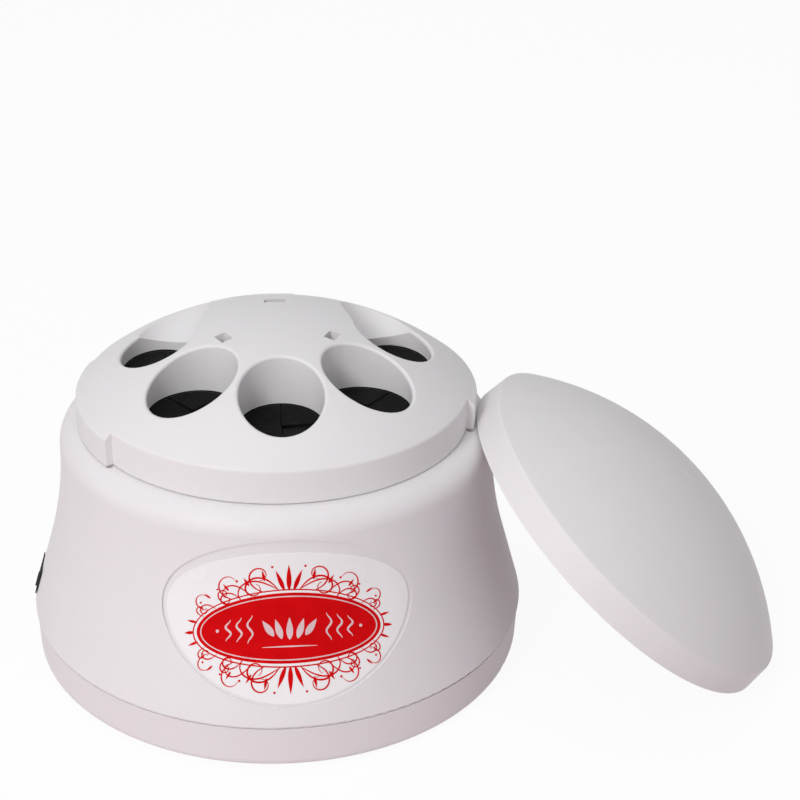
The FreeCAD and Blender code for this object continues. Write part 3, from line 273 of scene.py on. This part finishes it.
def chute(centre, turn_, radial, across):
    """Square tube: two rings of four corners (+-a, +-b), one CHUTE_INSET inside the slot and
    one CHUTE_WALL further out, each at the top and at the end."""
    out, side = radius_and_side(turn_)
    corners = np.array([(-1, -1), (1, -1), (1, 1), (-1, 1)]) * (radial / 2, across / 2)
    rings = [corners + np.sign(corners) * grow for grow in (-CHUTE_INSET, CHUTE_WALL)]
    flat = [centre * out + r[:, :1] * out + r[:, 1:] * side for r in rings]
    points = np.concatenate([np.column_stack([f, np.full(4, z)])
                             for f in flat for z in (CHUTE_TOP, CHUTE_END)])
    k = np.arange(4)
    n = (k + 1) % 4
    faces = np.concatenate([
        np.stack([k, n, n + 4, k + 4], 1), np.stack([k + 8, k + 12, n + 12, n + 8], 1),
        np.stack([k, k + 8, n + 8, n], 1), np.stack([k + 4, n + 4, n + 12, k + 12], 1)])
    return points, faces


for i, vent in enumerate(VENTS):
    points, faces = chute(*vent)
    tube = put_mesh("vent_chute_%d" % i, points, faces,
                    nodes["finger_cover"].active_material, smooth=False)
    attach(tube, "cover")


# ---- label sticker with its printed ornament ----
# A glossy white film lies in a shallow egg-shaped recess of the front wall. It carries a
# red oval with a pale line, five almond shapes between rising waves in it, and red
# volutes, leaves and dots round it. The print is thin ink on the film.
SEAM_Z, LIP_R, KNEE_Z, NECK_R, NECK_Z, WALL_BEND = 18.3, 94.8, 45.0, 81.05, 86.9, 152.0
FILM_IN, INK_LIFT, FINE_LIFT, INK_T = 0.21, 0.08, 0.13, 0.1
OVAL_HALF, OVAL_HIGH, OVAL_X, OVAL_Z, OVAL_SAG = 31.7, 12.55, 0.8, 53.75, 3.9


def film_radius(z):
    """Radius of the film's face: the wall is an arc of WALL_BEND about (NECK_R +
    WALL_BEND, NECK_Z) down to the knee, and a straight cone from there to the seam."""
    knee_r = NECK_R + WALL_BEND - math.sqrt(WALL_BEND ** 2 - (NECK_Z - KNEE_Z) ** 2)
    arc = NECK_R + WALL_BEND - np.sqrt(WALL_BEND ** 2 - (z - NECK_Z) ** 2)
    cone = LIP_R + (knee_r - LIP_R) * (z - SEAM_Z) / (KNEE_Z - SEAM_Z)
    return np.where(z > KNEE_Z, arc, cone) - FILM_IN


def on_film(u, v, lift):
    """Lays a flat point of the print on the film: x = OVAL_X + u, z = OVAL_Z + v less a
    sag that grows with u squared, and y from the film's radius at z plus a lift."""
    x = OVAL_X + u
    z = OVAL_Z + v - OVAL_SAG * (u / OVAL_HALF) ** 2
    return np.stack([x, -np.sqrt((film_radius(z) + lift) ** 2 - x ** 2), z], axis=-1)


def curl(u, v, heading, length, bend, last_bend, steps=70):
    """Path whose bend goes evenly from one value to another along its length: the heading
    is the running sum of the bend, and the point that of the heading's cosine and sine."""
    part = np.linspace(0, 1, steps)
    step = length / (steps - 1)
    angle = math.radians(heading) + length * (bend * part + (last_bend - bend) * part ** 2 / 2)
    run = np.stack([np.cos(angle), np.sin(angle)], axis=-1) * step
    run[0] = (u, v)
    return np.cumsum(run, axis=0)


def ribbon(path, half):
    """Stroke along a path, with half its width to each side of it."""
    slope = np.gradient(path, axis=0)
    side = np.stack([-slope[:, 1], slope[:, 0]], axis=-1)
    side /= np.linalg.norm(side, axis=1, keepdims=True)
    return np.stack([path - side * half[:, None], path + side * half[:, None]], axis=1)


def pen(path, width, swell):
    """Stroke thickest where swell puts it and thin at both ends:
    w(t) = width * (0.25 + 0.75 * sin(pi * t^swell))."""
    part = np.linspace(0, 1, len(path))
    return ribbon(path, width / 2 * (0.25 + 0.75 * np.sin(np.pi * part ** swell)))


def leaf(u, v, heading, length, width, sway=0.0):
    """Leaf: a pen stroke whose width is that of sin(pi * t^0.75) and comes to a point."""
    path = curl(u, v, heading, length, sway, -sway, 24)
    part = np.linspace(0, 1, len(path))
    return ribbon(path, width / 2 * np.sin(np.pi * part ** 0.75))


def dot(u, v, radius):
    """Round dot as a stroke from end to end: width is the chord at each step."""
    part = np.linspace(-1, 1, 17)
    half = radius * np.sqrt(1 - part ** 2)
    left = np.stack([u + radius * part, v - half], axis=-1)
    return np.stack([left, np.stack([left[:, 0], v + half], axis=-1)], axis=1)


def oval_line(half, high, width, steps=160):
    """Closed elliptic line: (half * cos t, high * sin t), its width to the outside first."""
    t = np.linspace(0, 2 * np.pi, steps)
    ring = np.stack([np.cos(t), np.sin(t)], axis=-1)
    return np.stack([ring * (half + width / 2, high + width / 2),
                     ring * (half - width / 2, high - width / 2)], axis=1)


def oval_field(half, high, columns=97, rows=41):
    """Filled ellipse without a pole: a square grid (a, b) from -1 to 1 is bent to
    (half * a * sqrt(1 - b^2/2), high * b * sqrt(1 - a^2/2))."""
    a, b = np.meshgrid(np.linspace(-1, 1, columns), np.linspace(-1, 1, rows), indexing="ij")
    return np.stack([half * a * np.sqrt(1 - b ** 2 / 2),
                     high * b * np.sqrt(1 - a ** 2 / 2)], axis=-1)


def printed(name, strokes, lift, material):
    """All strokes of one ink as one thin sheet laid on the film. A stroke is a grid of
    flat points whose rows run on and whose columns run from its right to its left."""
    points, faces, first = [], [], 0
    for stroke in strokes:
        n, m = stroke.shape[:2]
        points.append(on_film(stroke[..., 0], stroke[..., 1], lift).reshape(-1, 3))
        k = first + (m * np.arange(n - 1)[:, None] + np.arange(m - 1)).ravel()
        faces.append(np.stack([k, k + m, k + m + 1, k + 1], axis=-1))
        first += n * m
    piece = put_mesh(name, np.concatenate(points), np.concatenate(faces), material, False)
    skin = piece.modifiers.new("ink", "SOLIDIFY")
    skin.thickness, skin.offset = INK_T * MM, -1
    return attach(piece, "machine")


def mirrored(strokes, ways=((-1, 1), (1, -1), (-1, -1))):
    """The strokes with their mirror images; a mirror swaps each stroke's sides."""
    copies = list(strokes)
    for way in ways:
        flip = way[0] * way[1] < 0
        copies += [(s * way)[:, ::-1] if flip else s * way for s in strokes]
    return copies


film_finish, paint, shader = new_finish(
    "sticker_film", Coat_Weight=0.25, Coat_Roughness=0.08, IOR=1.45)
spot = paint.node("ShaderNodeTexCoord", output=3)
wave = paint.node("ShaderNodeTexNoise", None, {"Vector": spot, "Scale": 45.0, "Detail": 2.0})
shade = wave.between(0.35, 0.65).tint((0.92, 0.905, 0.91), (0.905, 0.885, 0.892))
shade.into(shader, "Base Color")
(0.22 + wave * 0.08).into(shader, "Roughness")
paint.node("ShaderNodeBump", None, {
    "Strength": 0.08, "Distance": 0.0002, "Height": wave}).into(shader, "Normal")
dress(film_finish, "label_panel")


def ink(name, colour, deeper):
    """Ink under the film's clear coat, a little uneven in depth."""
    material, paint, shader = new_finish(name, Specular_IOR_Level=0.04)
    spot = paint.node("ShaderNodeTexCoord", output=3)
    depth = paint.node("ShaderNodeTexNoise", None, {
        "Vector": spot, "Scale": 160.0, "Detail": 3.0})
    depth.between(0.3, 0.7).tint(colour, deeper).into(shader, "Base Color")
    (0.25 + depth * 0.1).into(shader, "Roughness")
    return material


red_ink = ink("red_ink", (0.70, 0.003, 0.005), (0.63, 0.002, 0.004))
pale_ink = ink("pale_ink", (0.80, 0.62, 0.64), (0.74, 0.54, 0.56))

printed("label_oval", [oval_field(OVAL_HALF, OVAL_HIGH)], INK_LIFT, red_ink)

quarter = [
    pen(curl(3.4, 13.4, 55, 26.0, -0.01, -0.52), 0.66, 0.8),
    pen(curl(3.0, 13.6, 26, 25.0, 0.05, -0.42), 0.56, 0.8),
    pen(curl(8.0, 13.0, 16, 21.0, 0.06, 0.52), 0.56, 0.8),
    pen(curl(13.0, 12.4, 34, 15.0, 0.10, -0.60), 0.48, 0.8),
    pen(curl(19.0, 11.0, 14, 15.5, 0.10, 0.42), 0.48, 0.8),
    pen(curl(28.0, 7.6, 10, 10.0, 0.12, 0.62), 0.42, 0.8),
    pen(curl(16.5, 10.9, 48, 16.0, -0.02, -0.95), 0.52, 0.8),
    pen(curl(21.0, 9.5, 20, 12.0, 0.05, 1.1), 0.46, 0.8),
    pen(curl(25.0, 7.9, 42, 11.5, -0.02, -1.15), 0.46, 0.8),
    pen(curl(29.0, 5.4, 18, 8.5, 0.02, 1.5), 0.42, 0.8),
    leaf(8.2, 17.2, 75, 4.2, 1.0, 0.08), leaf(13.4, 15.6, 55, 3.6, 0.9, 0.08),
    leaf(20.4, 14.2, 58, 3.2, 0.8, -0.08), leaf(26.6, 11.8, 40, 2.8, 0.7, -0.08),
    leaf(31.4, 3.4, 12, 3.6, 0.9, 0.1),
    dot(17.6, 17.6, 0.42), dot(24.2, 14.9, 0.36), dot(30.0, 10.4, 0.36), dot(5.6, 22.4, 0.42),
    leaf(1.5, 13.4, 66, 8.2, 1.5, 0.03),
]
whole = mirrored(quarter)
whole += mirrored([leaf(0.0, 13.4, 90, 9.8, 1.7)], ((1, -1),))
whole += mirrored([leaf(32.6, 0.0, 0, 3.4, 1.1)], ((-1, 1),))
whole.append(oval_line(32.9, 13.7, 0.45))
printed("label_ornament", whole, INK_LIFT, red_ink)

FIRST_WAVE, WAVE_PITCH, WAVE_HALF, WAVE_SWING, WAVE_TAPER = 13.5, 3.7, 4.9, 0.85, 30.0
t = np.linspace(-1, 1, 60)
waves = []
for i in range(3):
    tall = WAVE_HALF * (1 - WAVE_PITCH * i / WAVE_TAPER)
    across = FIRST_WAVE + WAVE_PITCH * i + WAVE_SWING * np.sin(np.pi * 1.5 * t)
    waves.append(pen(np.stack([across, tall * t], axis=-1), 0.72, 1.0))
almonds = [leaf(2.7 * i, -4.3 + 0.35 * i * i, 90 - 17 * i, 8.0 - 0.5 * abs(i), 2.3)
           for i in range(-2, 3)]
underline = np.stack([np.linspace(-9.5, 9.5, 30), np.full(30, -6.6)], axis=-1)
fine = [oval_line(30.3, 11.25, 0.42), pen(underline, 0.5, 1.0)]
fine += mirrored(waves + [dot(24.6, 0.0, 0.55)], ((-1, 1),)) + almonds
printed("label_fine_print", fine, FINE_LIFT, pale_ink)


# ---- foot ring ----
# Soft dark rubber ring pressed into the groove under the pan, dull and faintly speckled.
def dull_rubber(name, colour, fleck, rough):
    """Matt rubber: small flecks of a second colour and a fine uneven skin."""
    material, paint, shader = new_finish(name, IOR=1.5)
    spot = paint.node("ShaderNodeTexCoord", output=3)
    grain = paint.node("ShaderNodeTexNoise", None, {
        "Vector": spot, "Scale": 1400.0, "Detail": 3.0})
    grain.between(0.55, 0.75).tint(colour, fleck).into(shader, "Base Color")
    (rough + grain * 0.12).into(shader, "Roughness")
    paint.node("ShaderNodeBump", None, {
        "Strength": 0.35, "Distance": 0.0001, "Height": grain}).into(shader, "Normal")
    return material


dress(dull_rubber("foot_rubber", (0.10, 0.10, 0.105), (0.16, 0.16, 0.165), 0.7), "foot_ring")
dress(dull_rubber("seal_silicone", (0.74, 0.74, 0.75), (0.80, 0.80, 0.81), 0.42), "cover_seal")
dress(dull_rubber("gasket_silicone", (0.55, 0.16, 0.10), (0.62, 0.22, 0.15), 0.5),
      "dish_gasket")


# ---- screws, clamp and heat shield: plated steel ----
# Small zinc-plated screws and pressed sheet parts: bright blue-grey metal with fine
# rolling lines and a patchy dull bloom.
def plated_steel(name, colour, bloom, stretch):
    """Plated sheet or bar: noise stretched along X for the rolling lines, and clouds
    that mix in a duller, rougher bloom."""
    material, paint, shader = new_finish(name, Metallic=1.0)
    spot = paint.node("ShaderNodeTexCoord", output=3)
    drawn = paint.node("ShaderNodeMapping", None, {
        "Vector": spot, "Scale": (1.0, stretch, stretch)})
    lines = paint.node("ShaderNodeTexNoise", None, {
        "Vector": drawn, "Scale": 160.0, "Detail": 3.0})
    cloud = paint.node("ShaderNodeTexNoise", None, {
        "Vector": spot, "Scale": 240.0, "Detail": 4.0})
    mask = cloud.between(0.45, 0.7)
    mask.tint(colour, bloom).into(shader, "Base Color")
    (0.24 + mask * 0.16 + lines * 0.1).into(shader, "Roughness")
    paint.node("ShaderNodeBump", None, {
        "Strength": 0.12, "Distance": 0.00005, "Height": lines}).into(shader, "Normal")
    return material


dress(plated_steel("screw_zinc", (0.62, 0.63, 0.66), (0.48, 0.48, 0.50), 6.0), "base_screws",
      "dish_screws", "clamp_screws", "shield_screws", "board_screws", "retainer_screws")
dress(plated_steel("sheet_steel", (0.66, 0.66, 0.68), (0.55, 0.55, 0.56), 14.0),
      "heater_clamp", "heat_shield")
dress(plated_steel("tinned_blade", (0.70, 0.69, 0.66), (0.58, 0.57, 0.54), 10.0),
      "switch_terminals")


# ---- steam bowl and membrane plate ----
# The bowl under the cover and the plate that holds the membranes are heat-proof plastic,
# duller than the outer shells.
def dull_plastic(name, colour, speck, rough, grain_size=1500.0, gleam=0.5):
    """Plain moulding: fine grain in the height and the roughness, and clouds that mix in the
    speck colour.
    """
    material, paint, shader = new_finish(name, IOR=1.48, Specular_IOR_Level=gleam)
    spot = paint.node("ShaderNodeTexCoord", output=3)
    grain = paint.node("ShaderNodeTexNoise", None, {
        "Vector": spot, "Scale": grain_size, "Detail": 2.0})
    cloud = paint.node("ShaderNodeTexNoise", None, {
        "Vector": spot, "Scale": 70.0, "Detail": 4.0})
    cloud.between(0.35, 0.7).tint(colour, speck).into(shader, "Base Color")
    (rough + grain * 0.12).into(shader, "Roughness")
    paint.node("ShaderNodeBump", None, {
        "Strength": 0.25, "Distance": 0.00007, "Height": grain}).into(shader, "Normal")
    return material


dress(dull_plastic("bowl_plastic", (0.78, 0.78, 0.79), (0.74, 0.735, 0.73), 0.48), "steam_bowl")
dress(dull_plastic("plate_plastic", (0.79, 0.77, 0.78), (0.75, 0.73, 0.74), 0.5),
      "membrane_retainer")


# ---- heating dish ----
# Spun aluminium dish: close turning rings round its axis, brighter where the rings catch.
RING_PHASE = 9000.0  # radians per metre of radius
dish_finish, paint, shader = new_finish("spun_dish", Metallic=1.0)
spot = paint.node("ShaderNodeTexCoord", output=3)
x = paint.node("ShaderNodeSeparateXYZ", None, {0: spot})
y = paint.node("ShaderNodeSeparateXYZ", None, {0: spot}, output=1)
radius = (x * x + y * y) ** 0.5
rings = paint.math("SINE", radius * RING_PHASE)
blur = paint.node("ShaderNodeTexNoise", None, {"Vector": spot, "Scale": 60.0, "Detail": 3.0})
blur.between(0.3, 0.7).tint((0.80, 0.80, 0.82), (0.70, 0.70, 0.72)).into(shader, "Base Color")
(0.28 + blur * 0.1 + rings * 0.03).into(shader, "Roughness")
paint.node("ShaderNodeBump", None, {
    "Strength": 0.25, "Distance": 0.00004, "Height": rings + blur}).into(shader, "Normal")
dress(dish_finish, "heating_dish")


# ---- heater, its mica sheet and the thermostat ----
# A grey-white ceramic heating block, a flaky brown mica sheet and a dark moulded cut-out.
dress(dull_plastic("heater_ceramic", (0.80, 0.79, 0.75), (0.72, 0.70, 0.66), 0.6, 900.0),
      "ptc_heater")
mica_finish, paint, shader = new_finish("mica", IOR=1.58)
spot = paint.node("ShaderNodeTexCoord", output=3)
flakes = paint.node("ShaderNodeTexVoronoi", None, {"Vector": spot, "Scale": 320.0}, 1)
tone = paint.node("ShaderNodeSeparateColor", None, {0: flakes})
tone.tint((0.52, 0.42, 0.26), (0.70, 0.62, 0.44)).into(shader, "Base Color")
(0.3 + tone * 0.25).into(shader, "Roughness")
paint.node("ShaderNodeBump", None, {
    "Strength": 0.3, "Distance": 0.00005, "Height": tone}).into(shader, "Normal")
dress(mica_finish, "heater_mica")
dress(dull_plastic("thermostat_black", (0.05, 0.05, 0.052), (0.08, 0.08, 0.08), 0.45),
      "thermostat")


# ---- control board and what sits on it ----
# Green glass-fibre board with copper paths under its lacquer, a blue relay, a black chip,
# a sleeved capacitor and the black power inlet with its pin.
board_finish, paint, shader = new_finish("board_green", Coat_Weight=0.4, Coat_Roughness=0.2)
spot = paint.node("ShaderNodeTexCoord", output=3)
tracks = paint.node("ShaderNodeTexBrick", {"offset": 0.37, "squash": 0.7}, {
    "Vector": spot, "Color1": (0, 0, 0, 1), "Color2": (0, 0, 0, 1), "Mortar": (1, 1, 1, 1),
    "Scale": 210.0, "Mortar Size": 0.07, "Brick Width": 1.1, "Row Height": 0.5})
path_mask = paint.node("ShaderNodeSeparateColor", None, {0: tracks})
weave = paint.node("ShaderNodeTexNoise", None, {"Vector": spot, "Scale": 1800.0, "Detail": 1.0})
path_mask.tint((0.02, 0.16, 0.06), (0.06, 0.30, 0.12)).into(shader, "Base Color")
(0.35 + weave * 0.1).into(shader, "Roughness")
relief = path_mask + weave * 0.3
paint.node("ShaderNodeBump", None, {
    "Strength": 0.4, "Distance": 0.00005, "Height": relief}).into(shader, "Normal")
dress(board_finish, "control_board")
dress(dull_plastic("relay_blue", (0.06, 0.16, 0.50), (0.05, 0.13, 0.42), 0.35), "board_relay")
dress(dull_plastic("chip_black", (0.03, 0.03, 0.032), (0.05, 0.05, 0.05), 0.55, 3000.0),
      "board_chip")
can_finish, paint, shader = new_finish("capacitor_sleeve")
spot = paint.node("ShaderNodeTexCoord", output=3)
height = paint.node("ShaderNodeSeparateXYZ", None, {0: spot}, output=2)
CAN_TOP, SLEEVE_END, SLEEVE_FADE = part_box("board_capacitor")[1].z, 0.0008, 0.0002
bare = height.between(CAN_TOP - SLEEVE_END, CAN_TOP - SLEEVE_END + SLEEVE_FADE)
wear = paint.node("ShaderNodeTexNoise", None, {"Vector": spot, "Scale": 700.0, "Detail": 3.0})
bare.tint((0.03, 0.035, 0.06), (0.62, 0.62, 0.64)).into(shader, "Base Color")
bare.into(shader, "Metallic")
(0.3 + wear * 0.15).into(shader, "Roughness")
dress(can_finish, "board_capacitor")
dress(dull_plastic("jack_black", (0.028, 0.028, 0.03), (0.045, 0.045, 0.047), 0.5), "dc_jack")
dress(plated_steel("pin_nickel", (0.76, 0.70, 0.56), (0.62, 0.56, 0.44), 5.0), "dc_jack_pin")


# ---- rocker switch ----
# Black snap-in switch: a finely grained frame and a smoother, polished rocker.
dress(dull_plastic("switch_frame", (0.018, 0.018, 0.019), (0.026, 0.026, 0.028), 0.45,
                   gleam=0.15), "switch_body")
rocker_finish, paint, shader = new_finish("rocker_black", Specular_IOR_Level=0.2, Coat_Weight=0.1,
                                          Coat_Roughness=0.12)
spot = paint.node("ShaderNodeTexCoord", output=3)
smear = paint.node("ShaderNodeTexNoise", None, {"Vector": spot, "Scale": 500.0, "Detail": 4.0})
shade = smear.between(0.4, 0.7).tint((0.018, 0.018, 0.02), (0.03, 0.03, 0.033))
shade.into(shader, "Base Color")
(0.2 + smear * 0.2).into(shader, "Roughness")
dress(rocker_finish, "switch_rocker")


# ---- five slit membranes ----
# Black silicone discs under the wells, each with a cross cut in it. The four flaps never
# lie quite flat: their tips dip or lift by up to a millimetre.
skin_finish, paint, shader = new_finish("membrane_black", Specular_IOR_Level=0.025)
spot = paint.node("ShaderNodeTexCoord", output=3)
film = paint.node("ShaderNodeTexNoise", None, {"Vector": spot, "Scale": 300.0, "Detail": 5.0})
shade = film.between(0.4, 0.75).tint((0.0045, 0.0044, 0.0044), (0.008, 0.0078, 0.0078))
shade.into(shader, "Base Color")
(0.26 + film * 0.16).into(shader, "Roughness")
pucker = paint.node("ShaderNodeTexNoise", None, {"Vector": spot, "Scale": 110.0, "Detail": 2.0})
paint.node("ShaderNodeBump", None, {
    "Strength": 0.25, "Distance": 0.0006, "Height": pucker}).into(shader, "Normal")

SKIN_TOP, SKIN_T, SKIN_RIM, SLIT_PART, SLIT_HALF = 109.98, 0.94, 1.1, 0.95, 0.05
RIM_STEP, RING_LAP, FLAP_POWER, FLAP_TWIST = 0.1, 0.01, 1.6, 0.35
WELLS = ((-95.5, 43.3, 14.2, 18.2), (-46.0, 42.7, 16.9, 14.9), (0.0, 42.7, 16.9, 14.9),
         (46.0, 42.7, 16.9, 14.9), (95.5, 43.3, 14.2, 18.2))
FLAP_DIPS = ((-0.3, -0.9, -0.5, 0.2), (-0.8, -0.3, 0.1, -0.5), (-1.1, -0.2, -0.6, -0.3),
             (-0.3, 0.2, -0.7, -0.9), (-0.5, 0.1, -0.9, -0.4))


def slit_skin(well, dips):
    """Disc in polar steps (s, t) of its ellipse. Inside SLIT_PART it is four flaps shifted
    off the cut by SLIT_HALF. With f = 1 - s/SLIT_PART and m their middle, their height is
    dip * f^FLAP_POWER + FLAP_TWIST * dip * f * s * sin(2 * (t - m)). Outside is a ring."""
    turn_, centre, radial, across = well
    out, side = radius_and_side(turn_)
    points, faces, first = [], [], 0

    def patch(s, t, lift, push):
        nonlocal first
        grid_s, grid_t = np.meshgrid(s, t, indexing="ij")
        rim = SKIN_RIM * np.maximum(grid_s - 1, 0) / RIM_STEP
        major = radial * np.minimum(grid_s, 1) + rim
        minor = across * np.minimum(grid_s, 1) + rim
        p, q = major * np.cos(grid_t) + push[0], minor * np.sin(grid_t) + push[1]
        flat = centre * out + p[..., None] * out + q[..., None] * side
        z = SKIN_TOP + lift(grid_s, grid_t)
        points.append(np.concatenate([flat, z[..., None]], axis=-1).reshape(-1, 3))
        rows, cols = grid_s.shape
        k = first + (np.arange(rows - 1)[:, None] * cols + np.arange(cols - 1)).ravel()
        faces.append(np.stack([k, k + cols, k + cols + 1, k + 1], axis=-1))
        first += rows * cols

    for i, dip in enumerate(dips):
        t = np.linspace(i, i + 1, 19) * math.pi / 2
        mid = (i + 0.5) * math.pi / 2
        off = SLIT_HALF * math.sqrt(2)

        def flap(s, t, dip=dip, mid=mid):
            free = np.clip(1 - s / SLIT_PART, 0, 1)
            return (dip * free ** FLAP_POWER
                    + FLAP_TWIST * dip * free * np.sin(2 * (t - mid)) * s)

        patch(np.linspace(0.0, SLIT_PART, 16), t, flap,
              (off * math.cos(mid), off * math.sin(mid)))
    patch(np.linspace(SLIT_PART - RING_LAP, 1 + RIM_STEP, 8), np.linspace(0, 2 * math.pi, 73),
          lambda s, t: 0 * s, (0, 0))
    return np.concatenate(points), np.concatenate(faces)


for i, (well, dips) in enumerate(zip(WELLS, FLAP_DIPS), start=1):
    points, faces = slit_skin(well, dips)
    skin = put_mesh("membrane_%d" % i, points, faces, skin_finish)
    thick = skin.modifiers.new("skin", "SOLIDIFY")
    thick.thickness, thick.offset = SKIN_T * MM, -1
    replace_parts(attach(skin, "cover"), "finger_membrane_%d" % i)
